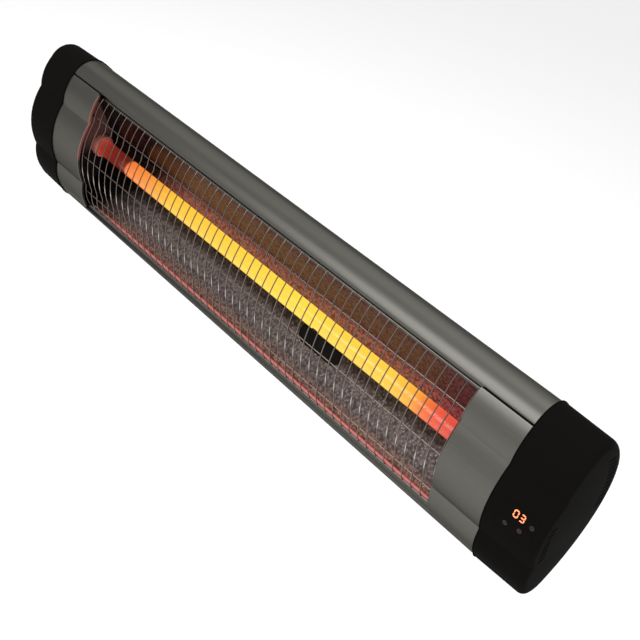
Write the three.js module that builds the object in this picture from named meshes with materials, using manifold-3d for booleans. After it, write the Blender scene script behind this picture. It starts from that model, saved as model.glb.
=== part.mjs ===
// Electric bar heater: a wall-hung infrared bar in an aluminium extrusion with a three-lobed open front,
// a welded wire grille, a quartz tube before a bent reflector, moulded end caps and two tilting brackets.
//
// Millimetres, +Z up. X runs along the heater, +Y goes into the wall, so the glowing front looks along -Y.
// The origin lies on the wall, midway between the brackets, at the middle height of the level heater.
// Inside the heater's own group Y is "depth": 0 at the two front creases, growing towards the wall.

import * as THREE from 'three';
import { mergeVertices } from 'three/addons/utils/BufferGeometryUtils.js';
import Module from 'manifold-3d';

const wasm = await Module();
wasm.setup();

// ---------------------------------------------------------------------------------------------------------
// Driving dimensions
// ---------------------------------------------------------------------------------------------------------

// Fits
const SEAT_GAP = 0.3;            // between two faces that rest on each other
const BORE_GAP = 0.35;           // round a pin, tube or wire in its hole

// Lengths along X
const OPENING_HALF = 300;        // half the open front
const GLOW_SHORT = 50;           // the glowing element ends this far inside the opening
const CHAMBER_BEYOND = 18;       // from the opening's end to the chamber's end plate
const TUBE_BEYOND = 20;          // from the chamber's end plate to the end of the quartz tube
const SHELL_BEYOND = 40;         // from the chamber's end plate to the end of the extrusion
const CAP_LENGTH = 58;           // one end cap

// Section of the heater: three lobes in front, round shoulders, a round back
const CREASE_HEIGHT = 40;        // the creases lie this far above and below the middle
const MIDDLE_BULGE = 10.4;       // the middle lobe stands this far before the creases
const GROOVE_DEPTH = 11.5;       // the groove between front panel and extrusion
const GROOVE_HEIGHT = 78;
const SIDE_BULGE = 3.6;          // crown of the two side lobes over their chord
const SHOULDER_DEPTH = 36;       // centre of the shoulder arc
const SHOULDER_HEIGHT = 66;
const REAR_DEPTH = 100;          // the back of the extrusion

// Extrusion
const SHELL_WALL = 2;
const GROOVE_WIDTH = 1.6;
const LIP_SETBACK = 4.5;         // the lip that carries panels and grille, behind the groove
const LIP_THICKNESS = 2;
const LIP_WIDTH = 9;
const LAND_HALF = 14;            // flat land along the back, with the bracket channel in it
const CHANNEL_MOUTH_HALF = 4.3;
const CHANNEL_LIP = 2.5;
const CHANNEL_HALF = 8.2;
const CHANNEL_DEPTH = 6.2;

// Front panels
const PANEL_SHEET = 1.5;
const PANEL_HEM = 2;             // how far the hem at the opening reaches behind the sheet

// Grille
const GRILLE_WIRE = 1.3;
const GRILLE_PITCH = 12.4;
const GRILLE_RECESS = 5.4;       // from the panel's face to the middle of the wire, at mid-height
const GRILLE_CREASE_DEPTH = 5.2;
const GRILLE_CREASE_HEIGHT = 42.5;
const GRILLE_SIDE_BULGE = 2.4;
const GRILLE_OVERLAP = 9;        // how far the long wires run on behind the front panels
const WELD_DEPTH = 0.5;          // how far two crossing wires melt into each other

// Reflector
const REFLECTOR_SHEET = 1;
const REFLECTOR_DEPTH = 50.5;    // its flat back
const REFLECTOR_FLAT_HALF = 12;
const REFLECTOR_FLANGE = 7;      // width of the edge that lies behind the lip
const STEADY_X = 98;             // the oval opening and the tube's steady
const OVAL_LENGTH = 64;
const OVAL_WIDTH = 24;
const OVAL_FROM_BEND = 18;       // its middle, down the slope from the flat back

// Tube and its holders
const TUBE_DEPTH = 34;
const TUBE_RADIUS = 10;
const TUBE_WALL = 1.4;
const ELEMENT_GAP = 0.4;
const ELEMENT_CONE = 9;
const PIN_RADIUS = 1.5;
const PIN_TAIL = 3;              // how far a pin stands out of its ceramic
const HOLDER_RADIUS = 14;
const HOLDER_HEAD = 9;
const HOLDER_NECK = 12.6;
const HOLDER_END = 5;
const CLIP_SHEET = 1.2;
const CLIP_WIDTH = 8;
const STEADY_SHEET = 0.8;
const STEADY_WIDTH = 7;
const PLATE_SHEET = 1.5;         // chamber end plates and the plate behind the oval

// End caps
const CAP_PROUD = 1.5;           // the cap's rim stands this far outside the extrusion
const CAP_DRAFT = 2;             // and its sides come in by this much towards the end face
const CAP_WALL = 3;
const CAP_ROUND = 7;             // rounding of its outer edge
const VENT_WIDTH = 2.4;
const VENT_LENGTH = 12;
const VENT_PITCH = 6;
const VENT_EDGE = 3;             // from the vent to the edge of the flat end face
const REAR_VENTS = 12;
const REAR_VENT_HEIGHT = 0;      // the lowest vent of the rear row
const FRONT_VENTS = 8;
const FRONT_VENT_HEIGHT = 8;     // the highest vent of the front row

// Display, in the right cap
const WINDOW_MIDDLE = 31;        // from the cap's open rim
const WINDOW_HEIGHT = 2;         // middle of the window above the middle of the heater
const WINDOW_WIDE = 38;
const WINDOW_TALL = 32;
const MODULE_WIDE = 25;
const MODULE_TALL = 14;
const MODULE_THICK = 8;
const MODULE_HEIGHT = 6;
const BOARD_THICK = 1.6;
const DISPLAY_BOARD_WIDE = 38;
const DISPLAY_BOARD_TALL = 44;
const DISPLAY_POST_RADIUS = 2.5;
const DISPLAY_POST_INSET = 4;

// Electronics in the right cap
const CONTROL_BOARD_FRONT = 16;  // depth of the board's front edge
const CONTROL_BOARD_WIDE = 50;
const CONTROL_BOARD_TALL = 108;
const CONTROL_BOARD_IN = 33;     // from the cap's open rim
const CONTROL_POST_RADIUS = 4;
const CONTROL_POST_INSET = 6;
const RELAY_SIZE = new THREE.Vector3(16, 20, 28);
const SINK_BASE = 3;
const SINK_WIDE = 34;
const SINK_TALL = 36;
const SINK_DEEP = 15;
const SINK_FINS = 6;
const SINK_FIN = 1.6;
const TERMINAL_SIZE = new THREE.Vector3(15, 18, 38);
const TERMINAL_DEPTH = 68;       // middle of the terminal block
const TERMINAL_HEIGHT = -34;
const CUTOUT_X = 40;
const CUTOUT_RADIUS = 8;
const CUTOUT_THICK = 10;
const CUTOUT_STEM_RADIUS = 3;
const CUTOUT_STEM = 5;

// Leads inside the housing
const LEAD_RADIUS = 1.6;
const LEAD_HOLE_RADIUS = 4;
const LEAD_STEPS = 2;            // facets from one point of its path to the next
const LEAD_DEPTH = 74;           // both long leads run behind the reflector
const LONG_LEAD_HEIGHT = 30;
const CUTOUT_LEAD_HEIGHT = 16;
const CUTOUT_LEAD_DEPTH = 80;

// Cable gland, on the back of the right cap
const GLAND_X = 22;              // from the cap's open rim
const GLAND_HEIGHT = -42;
const GLAND_BOSS_RADIUS = 15;
const GLAND_STAND = 5;           // the boss stands this far out of the cap's back
const GLAND_BOSS_THICK = 16;
const GLAND_RADIUS = 8;
const GLAND_FLANGE_RADIUS = 12;
const GLAND_FLANGE = 6;
const GLAND_BARREL = 26;         // from the seat inwards
const GLAND_NIPPLE_RADIUS = 7.4;
const GLAND_NIPPLE = 10;
const GLAND_BORE_RADIUS = 4;
const GLAND_NUT_RADIUS = 11;
const GLAND_NUT = 13;
const LOCKNUT_RADIUS = 12.5;
const LOCKNUT = 5;

// Brackets
const BRACKET_X = 200;           // middle of the tilt arm's ear
const PIVOT_FROM_WALL = 40;
const PIVOT_FROM_BACK = 30;
const PIVOT_DROP = 30;           // from the heater's middle down to the tilt axis
const ARM_SHEET = 4;
const ARM_RADIUS = 28;
const ARM_HALF = 22;
const FOOT_LENGTH = 40;
const FOOT_BOLT_FIRST = 13;      // from the ear's middle to the first foot bolt
const FOOT_BOLT_PITCH = 17;
const FOOT_BOLT_RADIUS = 3;
const FOOT_BOLT_HEAD_RADIUS = 5.6;
const FOOT_BOLT_HEAD = 4;
const SLIDE_NUT_THICK = 5.4;
const SLIDE_NUT_LENGTH = 36;
const PIVOT_RADIUS = 4;
const PIVOT_HEAD_RADIUS = 7;
const PIVOT_HEAD = 4.5;
const PIVOT_NUT_RADIUS = 7.2;
const PIVOT_NUT = 6.5;
const BOLT_TAIL = 3;             // thread that stands out of a nut
const LOCK_OFFSET = 21;          // from the pivot down to the lock bolt
const LOCK_RADIUS = 3;
const LOCK_HEAD_RADIUS = 5.6;
const LOCK_HEAD = 4;
const KNOB_RADIUS = 11;
const KNOB_THICK = 14;
const KNOB_LOBES = 5;
const KNOB_DIP = 1.4;
const TILT_DOWN = 45;            // degrees that the front can look down
const TILT_UP = 15;
const SLOT_SPARE = 3;            // degrees of slot left at each end
const WALL_SHEET = 4;
const WALL_PLATE_WIDE = 56;
const WALL_PLATE_HALF = 40;
const WALL_EAR_TOP = 18;         // from the tilt axis up to the top of the plate
const WALL_EAR_RADIUS = 14;
const LOCK_EAR_RADIUS = 10;
const SCREW_SLOT_WIDTH = 6.5;
const SCREW_SLOT_LENGTH = 14;
const SCREW_SLOT_HEIGHT = 26;    // from the plate's middle up or down to a slot

// ---------------------------------------------------------------------------------------------------------
// Values worked out from them
// ---------------------------------------------------------------------------------------------------------

const CHAMBER_HALF = OPENING_HALF + CHAMBER_BEYOND;
const SHELL_HALF = CHAMBER_HALF + SHELL_BEYOND;
const TUBE_HALF = CHAMBER_HALF + TUBE_BEYOND;
const GLOW_HALF = OPENING_HALF - GLOW_SHORT;
const LIP_FACE = GROOVE_DEPTH + LIP_SETBACK;
const LIP_BACK = LIP_FACE + LIP_THICKNESS;
const LIP_EDGE = GROOVE_HEIGHT - LIP_WIDTH;
const CAP_START = SHELL_HALF + SEAT_GAP;
const CAP_INNER_END = CAP_START + CAP_LENGTH - CAP_WALL;
const PLATE_FACE = CHAMBER_HALF + SEAT_GAP;
const PLATE_BACK = PLATE_FACE + PLATE_SHEET;
const HOLDER_FACE = CHAMBER_HALF - HOLDER_HEAD;
const HOLDER_TAIL = TUBE_HALF + SEAT_GAP + HOLDER_END;
const PIN_END = HOLDER_TAIL + PIN_TAIL;
const PIVOT_Y = -PIVOT_FROM_WALL;
const PIVOT_Z = -PIVOT_DROP;
const LOCK_Z = PIVOT_Z - LOCK_OFFSET;
const WALL_PLATE_Z = PIVOT_Z + WALL_EAR_TOP - WALL_PLATE_HALF;
const BACK_Y = PIVOT_Y - PIVOT_FROM_BACK;
const HEATER_Y = BACK_Y - REAR_DEPTH;

// ---------------------------------------------------------------------------------------------------------
// Materials
// ---------------------------------------------------------------------------------------------------------

function finish(color, metalness, roughness, extra = {}) {
  return () => new THREE.MeshStandardMaterial({ color, metalness, roughness, ...extra });
}

const anodised = finish(0x76756f, 0.9, 0.38);
const steelWire = finish(0x8d8a86, 0.9, 0.35);
const hammered = finish(0x7a544c, 0.9, 0.42);
const blackSteel = finish(0x161413, 0.6, 0.55);
const blackPlastic = finish(0x151413, 0, 0.5);
const smokedPlastic = finish(0x0b0a0a, 0, 0.15);
const quartz = finish(0xf2d8cc, 0, 0.05, { transparent: true, opacity: 0.35 });
const glow = finish(0xffb030, 0, 0.6, { emissive: 0xffa020, emissiveIntensity: 2 });
const ceramic = finish(0xd9cfc2, 0, 0.7);
const zinc = finish(0xb4b6b8, 0.9, 0.35);
const board = finish(0x1f5a35, 0, 0.5);
const relayBlue = finish(0x2a4f9c, 0, 0.4);
const redLead = finish(0x9a3324, 0, 0.6);
const whitePlastic = finish(0xe3e0d8, 0, 0.5);

// ---------------------------------------------------------------------------------------------------------
// Solids
// ---------------------------------------------------------------------------------------------------------

// Axes for a profile drawn in (u, v) and pushed along w.
const ALONG_X = new THREE.Matrix4().makeBasis(
  new THREE.Vector3(0, 1, 0), new THREE.Vector3(0, 0, 1), new THREE.Vector3(1, 0, 0));
const ALONG_Y = new THREE.Matrix4().makeBasis(
  new THREE.Vector3(1, 0, 0), new THREE.Vector3(0, 0, 1), new THREE.Vector3(0, -1, 0));
// Axes for a profile turned about its own Y, laid along X.
const TURNED_X = new THREE.Matrix4().makeBasis(
  new THREE.Vector3(0, 0, 1), new THREE.Vector3(1, 0, 0), new THREE.Vector3(0, 1, 0));

function signedVolume(position, index) {
  const [a, b, c] = [new THREE.Vector3(), new THREE.Vector3(), new THREE.Vector3()];
  let sum = 0;
  for (let i = 0; i < index.length; i += 3) {
    a.fromBufferAttribute(position, index[i]);
    b.fromBufferAttribute(position, index[i + 1]);
    c.fromBufferAttribute(position, index[i + 2]);
    sum += a.dot(b.cross(c));
  }
  return sum / 6;
}

// One closed skin: shared corners merged, flat triangles dropped, faces pointing out.
function closed(geometry) {
  const bare = geometry.clone();
  bare.deleteAttribute('normal');
  bare.deleteAttribute('uv');
  const merged = mergeVertices(bare, 1e-4);
  const index = [];
  const old = merged.index.array;
  for (let i = 0; i < old.length; i += 3) {
    const [a, b, c] = [old[i], old[i + 1], old[i + 2]];
    if (a !== b && b !== c && c !== a) index.push(a, b, c);
  }
  if (signedVolume(merged.attributes.position, index) < 0) index.reverse();
  merged.setIndex(index);
  return merged;
}

function solid(geometry) {
  const skin = closed(geometry);
  return new wasm.Manifold(new wasm.Mesh({
    numProp: 3,
    vertProperties: new Float32Array(skin.attributes.position.array),
    triVerts: new Uint32Array(skin.index.array),
  }));
}

function geometryOf(manifold) {
  const mesh = manifold.getMesh();
  const geometry = new THREE.BufferGeometry();
  geometry.setAttribute('position', new THREE.BufferAttribute(new Float32Array(mesh.vertProperties), 3));
  geometry.setIndex(new THREE.BufferAttribute(new Uint32Array(mesh.triVerts), 1));
  return geometry;
}

function cut(geometry, ...tools) {
  return geometryOf(tools.reduce((whole, tool) => whole.subtract(solid(tool)), solid(geometry)));
}

// Joins in pairs, so that a long list of small pieces stays quick.
function join(...geometries) {
  let parts = geometries.map(solid);
  while (parts.length > 1) {
    const next = [];
    for (let i = 0; i < parts.length; i += 2) {
      next.push(i + 1 < parts.length ? parts[i].add(parts[i + 1]) : parts[i]);
    }
    parts = next;
  }
  return geometryOf(parts[0]);
}

function common(a, b) {
  return geometryOf(solid(a).intersect(solid(b)));
}

function extruded(outline, depth, holes) {
  const shape = new THREE.Shape(outline);
  shape.holes = holes.map((hole) => new THREE.Path(hole));
  return new THREE.ExtrudeGeometry(shape, { depth, bevelEnabled: false });
}

// A (depth, height) outline pushed along X.
function prismX(outline, start, end, holes = []) {
  return extruded(outline, end - start, holes).applyMatrix4(ALONG_X).translate(start, 0, 0);
}

// An (x, height) outline pushed along Y.
function prismY(outline, start, end, holes = []) {
  return extruded(outline, end - start, holes).applyMatrix4(ALONG_Y).translate(0, end, 0);
}

function box(from, to) {
  const size = to.clone().sub(from);
  const middle = from.clone().add(to).multiplyScalar(0.5);
  return new THREE.BoxGeometry(size.x, size.y, size.z).translate(middle.x, middle.y, middle.z);
}

function vector(x, y, z) {
  return new THREE.Vector3(x, y, z);
}

function flat(u, v) {
  return new THREE.Vector2(u, v);
}

// A body of revolution about X: the profile is a closed loop of (radius, x).
function turnedX(profile, sides) {
  return new THREE.LatheGeometry([...profile, profile[0]], sides).applyMatrix4(TURNED_X);
}

function turnedY(profile, sides) {
  return new THREE.LatheGeometry([...profile, profile[0]], sides);
}

function rod(radius, start, end) {
  return [flat(0, start), flat(radius, start), flat(radius, end), flat(0, end)];
}

function ring(inner, outer, start, end) {
  return [flat(inner, start), flat(outer, start), flat(outer, end), flat(inner, end)];
}

function circle(u, v, radius, sides, phase = 0) {
  const points = [];
  for (let i = 0; i < sides; i += 1) {
    const angle = phase + (i * 2 * Math.PI) / sides;
    points.push(flat(u + radius * Math.cos(angle), v + radius * Math.sin(angle)));
  }
  return points;
}

function arcPoints(u, v, radius, fromDegrees, toDegrees, steps) {
  const points = [];
  for (let i = 0; i <= steps; i += 1) {
    const angle = THREE.MathUtils.degToRad(fromDegrees + ((toDegrees - fromDegrees) * i) / steps);
    points.push(flat(u + radius * Math.cos(angle), v + radius * Math.sin(angle)));
  }
  return points;
}

// The outline of a strip of even thickness along a path.
function strip(path, thickness) {
  const left = [];
  const right = [];
  path.forEach((here, i) => {
    const before = path[Math.max(i - 1, 0)];
    const after = path[Math.min(i + 1, path.length - 1)];
    const into = here.clone().sub(before).normalize();
    const out = after.clone().sub(here).normalize();
    const one = i === 0 ? out : into;
    const two = i === path.length - 1 ? into : out;
    const normal = flat(-one.y - two.y, one.x + two.x).normalize();
    const reach = thickness / 2 / normal.dot(flat(-one.y, one.x));
    left.push(here.clone().addScaledVector(normal, reach));
    right.push(here.clone().addScaledVector(normal, -reach));
  });
  return [...left, ...right.reverse()];
}

function mirrorHeight(points) {
  return points.map((p) => flat(p.x, -p.y)).reverse();
}

function mesh(name, geometry, material) {
  const made = new THREE.Mesh(closed(geometry), material());
  made.name = name;
  made.geometry.computeVertexNormals();
  return made;
}

const SIDES = [{ word: 'left', sign: -1 }, { word: 'right', sign: 1 }];

// A geometry made for the right-hand end, or its mirror image for the left-hand end.
function onSide(geometry, sign) {
  return sign > 0 ? geometry : geometry.clone().scale(-1, 1, 1);
}

// ---------------------------------------------------------------------------------------------------------
// The heater's section: circular arcs that meet in creases or run into each other
// ---------------------------------------------------------------------------------------------------------

class Arc {
  constructor(centre, radius) {
    this.centre = centre;
    this.radius = radius;
  }

  // The arc over a chord, crowned towards smaller depths.
  static overChord(start, end, bulge) {
    const chord = end.clone().sub(start);
    const half = chord.length() / 2;
    const radius = (half * half + bulge * bulge) / (2 * bulge);
    const inward = flat(chord.y, -chord.x).normalize();
    const middle = start.clone().add(end).multiplyScalar(0.5);
    return new Arc(middle.addScaledVector(inward, radius - bulge), radius);
  }

  grown(offset) {
    return new Arc(this.centre, this.radius + offset);
  }

  angle(p) {
    return Math.atan2(p.y - this.centre.y, p.x - this.centre.x);
  }

  at(angle) {
    return flat(this.centre.x + this.radius * Math.cos(angle), this.centre.y + this.radius * Math.sin(angle));
  }

  // The point on the far (+1) or near (-1) side at one height.
  atHeight(height, side) {
    const rise = height - this.centre.y;
    return flat(this.centre.x + side * Math.sqrt(this.radius ** 2 - rise ** 2), height);
  }

  atDepth(depth) {
    const run = depth - this.centre.x;
    return flat(depth, this.centre.y + Math.sqrt(this.radius ** 2 - run ** 2));
  }

  // Points from one place on the arc to another, both included.
  walk(from, to, steps) {
    const start = this.angle(from);
    let sweep = this.angle(to) - start;
    if (sweep > Math.PI) sweep -= 2 * Math.PI;
    if (sweep < -Math.PI) sweep += 2 * Math.PI;
    const points = [];
    for (let i = 0; i <= steps; i += 1) points.push(this.at(start + (sweep * i) / steps));
    return points;
  }

  // Where two arcs cross, on the side of a hint.
  meet(other, hint) {
    const along = other.centre.clone().sub(this.centre);
    const gap = along.length();
    along.normalize();
    const run = (gap * gap + this.radius ** 2 - other.radius ** 2) / (2 * gap);
    const rise = Math.sqrt(this.radius ** 2 - run * run);
    const foot = this.centre.clone().addScaledVector(along, run);
    const across = flat(-along.y, along.x);
    const one = foot.clone().addScaledVector(across, rise);
    const two = foot.clone().addScaledVector(across, -rise);
    return one.distanceTo(hint) < two.distanceTo(hint) ? one : two;
  }
}

const CREASE = flat(0, CREASE_HEIGHT);
const GROOVE = flat(GROOVE_DEPTH, GROOVE_HEIGHT);
const MIDDLE_LOBE = Arc.overChord(flat(0, -CREASE_HEIGHT), CREASE, MIDDLE_BULGE);
const SIDE_LOBE = Arc.overChord(CREASE, GROOVE, SIDE_BULGE);
const SHOULDER_CENTRE = flat(SHOULDER_DEPTH, SHOULDER_HEIGHT);
const SHOULDER = new Arc(SHOULDER_CENTRE, SHOULDER_CENTRE.distanceTo(GROOVE));

// The back is one arc about the mid-line that runs smoothly into both shoulders.
function rearArc() {
  const reach = REAR_DEPTH - SHOULDER_DEPTH;
  const radius = (reach ** 2 + SHOULDER_HEIGHT ** 2 - SHOULDER.radius ** 2) / (2 * (reach - SHOULDER.radius));
  return new Arc(flat(REAR_DEPTH - radius, 0), radius);
}
const REAR = rearArc();
const BLEND_ANGLE = REAR.angle(SHOULDER_CENTRE);

// From the foremost point of the middle lobe up to the groove.
function frontHalf(offset, middleSteps = 4, sideSteps = 3) {
  const middle = MIDDLE_LOBE.grown(offset);
  const side = SIDE_LOBE.grown(offset);
  const crease = middle.meet(side, CREASE);
  const groove = side.meet(SHOULDER.grown(offset), GROOVE);
  return [
    ...middle.walk(middle.at(Math.PI), crease, middleSteps),
    ...side.walk(crease, groove, sideSteps).slice(1),
  ];
}

// From the groove over the shoulder and down the back to the middle.
function backHalf(offset, shoulderSteps = 5, rearSteps = 5) {
  const shoulder = SHOULDER.grown(offset);
  const rear = REAR.grown(offset);
  const groove = SIDE_LOBE.grown(offset).meet(shoulder, GROOVE);
  const over = shoulder.walk(groove, shoulder.at(BLEND_ANGLE), shoulderSteps);
  return [...over, ...rear.walk(rear.at(BLEND_ANGLE), rear.at(0), rearSteps).slice(1)];
}

// The whole outline, moved out or in by an offset.
function sectionOutline(offset) {
  const half = [...frontHalf(offset), ...backHalf(offset).slice(1)];
  return [...half, ...mirrorHeight(half.slice(1, -1))].reverse();
}

// ---------------------------------------------------------------------------------------------------------
// Housing
// ---------------------------------------------------------------------------------------------------------

// The inner face of the shell, kept clear by a margin: from behind the lip to the wall of the channel.
function shellInside(margin) {
  const shoulder = SHOULDER.grown(-SHELL_WALL - margin);
  const rear = REAR.grown(-SHELL_WALL - margin);
  const wall = CHANNEL_HALF + SHELL_WALL + margin;
  const over = shoulder.walk(shoulder.atDepth(LIP_BACK + margin), shoulder.at(BLEND_ANGLE), 5);
  return [
    ...over,
    ...rear.walk(rear.at(BLEND_ANGLE), rear.atHeight(wall, 1), 5).slice(1),
    flat(REAR_DEPTH - CHANNEL_LIP - CHANNEL_DEPTH - SHELL_WALL - margin, wall),
  ];
}

function housingShell() {
  const start = SHOULDER.at(SHOULDER.angle(GROOVE) - GROOVE_WIDTH / 2 / SHOULDER.radius);
  const floor = REAR_DEPTH - CHANNEL_LIP - CHANNEL_DEPTH;
  const outside = [
    flat(LIP_FACE, LIP_EDGE),
    flat(LIP_FACE, start.y - LIP_SETBACK / 3),
    ...SHOULDER.walk(start, SHOULDER.at(BLEND_ANGLE), 5),
    ...REAR.walk(REAR.at(BLEND_ANGLE), REAR.atHeight(LAND_HALF, 1), 5).slice(1),
    flat(REAR_DEPTH, LAND_HALF),
    flat(REAR_DEPTH, CHANNEL_MOUTH_HALF),
    flat(REAR_DEPTH - CHANNEL_LIP, CHANNEL_MOUTH_HALF),
    flat(REAR_DEPTH - CHANNEL_LIP, CHANNEL_HALF),
    flat(floor, CHANNEL_HALF),
  ];
  const inside = [flat(LIP_BACK, LIP_EDGE), ...shellInside(0)].reverse();
  const outline = [...outside, ...mirrorHeight(outside), ...mirrorHeight(inside), ...inside];
  return mesh('housing_shell', prismX(outline, -SHELL_HALF, SHELL_HALF), anodised);
}

// The line over all three lobes, short of the grooves, with an optional end above and below.
function lobes(offset, ...ends) {
  const half = [...frontHalf(offset).slice(0, -1), ...ends];
  return [...mirrorHeight(half.slice(1)), ...half];
}

// Sheet over the three lobes, with a flange at each groove that stands on the lip and a hem at the opening.
function frontPanel({ word, sign }) {
  const edge = SIDE_LOBE.at(SIDE_LOBE.angle(GROOVE) + GROOVE_WIDTH / 2 / SIDE_LOBE.radius);
  const bend = flat(edge.x + PANEL_SHEET, edge.y - PANEL_SHEET);
  const foot = flat(LIP_FACE - SEAT_GAP, edge.y - LIP_SETBACK / 3);
  const inner = flat(foot.x, foot.y - PANEL_SHEET);
  const outline = [...lobes(0, edge, foot), ...lobes(-PANEL_SHEET, bend, inner).reverse()];
  const sheet = prismX(outline, OPENING_HALF, SHELL_HALF);
  const rim = [...lobes(-PANEL_SHEET / 2), ...lobes(-PANEL_SHEET - PANEL_HEM).reverse()];
  const hem = prismX(rim, OPENING_HALF, OPENING_HALF + PANEL_SHEET);
  return mesh(`front_panel_${word}`, onSide(join(sheet, hem), sign), anodised);
}

// ---------------------------------------------------------------------------------------------------------
// Grille
// ---------------------------------------------------------------------------------------------------------

const EDGE_WIRE = flat(LIP_FACE - SEAT_GAP - GRILLE_WIRE / 2, LIP_EDGE + 2.5 * GRILLE_WIRE);
const GRILLE_CREASE = flat(GRILLE_CREASE_DEPTH, GRILLE_CREASE_HEIGHT);
const GRILLE_NOSE = GRILLE_RECESS - MIDDLE_BULGE;
const GRILLE_MIDDLE = Arc.overChord(
  flat(GRILLE_CREASE_DEPTH, -GRILLE_CREASE_HEIGHT), GRILLE_CREASE, GRILLE_CREASE_DEPTH - GRILLE_NOSE);
const GRILLE_SIDE = Arc.overChord(GRILLE_CREASE, EDGE_WIRE, GRILLE_SIDE_BULGE);

// The middle line of one bent wire, over the three lobes.
function grillePath() {
  const half = [
    ...GRILLE_MIDDLE.walk(GRILLE_MIDDLE.at(Math.PI), GRILLE_CREASE, 2),
    ...GRILLE_SIDE.walk(GRILLE_CREASE, EDGE_WIRE, 2).slice(1),
  ];
  return [...mirrorHeight(half).slice(0, -1), ...half];
}

// A long wire of square section, welded behind the bent wires where their face has the given slope.
function longWire(at, slope, behind) {
  const reach = OPENING_HALF + GRILLE_OVERLAP;
  const geometry = new THREE.BoxGeometry(2 * reach, GRILLE_WIRE, GRILLE_WIRE);
  geometry.translate(0, behind, 0).rotateX(slope);
  return geometry.translate(0, at.x, at.y);
}

function wireGrille() {
  const outline = strip(grillePath(), GRILLE_WIRE);
  const count = 1 + Math.floor((2 * OPENING_HALF - GRILLE_WIRE) / GRILLE_PITCH);
  const wires = [];
  for (let i = 0; i < count; i += 1) {
    const x = (i - (count - 1) / 2) * GRILLE_PITCH;
    wires.push(prismX(outline, x - GRILLE_WIRE / 2, x + GRILLE_WIRE / 2));
  }
  const behind = GRILLE_WIRE - WELD_DEPTH;
  const sideMiddle = GRILLE_SIDE.walk(GRILLE_CREASE, EDGE_WIRE, 4)[1];
  const lean = Math.PI - GRILLE_SIDE.angle(sideMiddle);
  wires.push(longWire(flat(GRILLE_NOSE, 0), 0, behind));
  [-1, 1].forEach((way) => {
    wires.push(longWire(flat(sideMiddle.x, way * sideMiddle.y), -way * lean, behind));
    wires.push(longWire(flat(EDGE_WIRE.x, way * EDGE_WIRE.y), 0, 0));
  });
  return mesh('wire_grille', join(...wires), steelWire);
}

// ---------------------------------------------------------------------------------------------------------
// Reflector and chamber
// ---------------------------------------------------------------------------------------------------------

const FLANGE_DEPTH = LIP_BACK + SEAT_GAP + REFLECTOR_SHEET / 2;
const SLOPE_START = flat(FLANGE_DEPTH, -(LIP_EDGE - REFLECTOR_SHEET));
const SLOPE_END = flat(REFLECTOR_DEPTH, -REFLECTOR_FLAT_HALF);
const SLOPE_ALONG = SLOPE_END.clone().sub(SLOPE_START).normalize();
const SLOPE_BEHIND = flat(SLOPE_ALONG.y, -SLOPE_ALONG.x);
const OVAL_MIDDLE = SLOPE_END.clone().addScaledVector(SLOPE_ALONG, -OVAL_FROM_BEND);

// A geometry drawn with X along the heater, Y up the lower slope and Z behind it, put in its place.
function onSlope(geometry) {
  const basis = new THREE.Matrix4().makeBasis(
    vector(1, 0, 0),
    vector(0, SLOPE_ALONG.x, SLOPE_ALONG.y),
    vector(0, -SLOPE_ALONG.y, SLOPE_ALONG.x));
  return geometry.applyMatrix4(basis).translate(STEADY_X, OVAL_MIDDLE.x, OVAL_MIDDLE.y);
}

function oval(length, width, sides) {
  const run = (length - width) / 2;
  return [...arcPoints(run, 0, width / 2, -90, 90, sides), ...arcPoints(-run, 0, width / 2, 90, 270, sides)];
}

function reflector() {
  const edge = flat(FLANGE_DEPTH, LIP_EDGE - REFLECTOR_SHEET + REFLECTOR_FLANGE);
  const upper = [edge, flat(SLOPE_START.x, -SLOPE_START.y), flat(SLOPE_END.x, -SLOPE_END.y)];
  const path = [...upper, ...mirrorHeight(upper)];
  const sheet = prismX(strip(path, REFLECTOR_SHEET), -CHAMBER_HALF, CHAMBER_HALF);
  const tool = extruded(oval(OVAL_LENGTH, OVAL_WIDTH, 6), 4 * REFLECTOR_SHEET, []);
  return mesh('reflector', cut(sheet, onSlope(tool.translate(0, 0, -2 * REFLECTOR_SHEET))), hammered);
}

// The plate behind the oval, dark through the opening.
function steadyPlate() {
  const rim = 4;
  const outline = oval(OVAL_LENGTH + 2 * rim, OVAL_WIDTH + 2 * rim, 6);
  const seat = -REFLECTOR_SHEET / 2 - SEAT_GAP - PLATE_SHEET;
  return mesh('steady_plate', onSlope(extruded(outline, PLATE_SHEET, []).translate(0, 0, seat)), blackSteel);
}

// A spring strip from that plate, bent into a cradle under the tube.
function tubeSteady() {
  const cradle = TUBE_RADIUS + SEAT_GAP + STEADY_SHEET / 2;
  const lift = REFLECTOR_SHEET / 2 - STEADY_SHEET / 2;
  const root = OVAL_MIDDLE.clone().addScaledVector(SLOPE_BEHIND, lift);
  const foot = root.clone().addScaledVector(SLOPE_ALONG, -OVAL_WIDTH / 4);
  const path = [foot, root, ...arcPoints(TUBE_DEPTH, 0, cradle, -50, -160, 7)];
  const outline = strip(path, STEADY_SHEET);
  const start = STEADY_X - STEADY_WIDTH / 2;
  return mesh('tube_steady', prismX(outline, start, start + STEADY_WIDTH), zinc);
}

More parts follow.
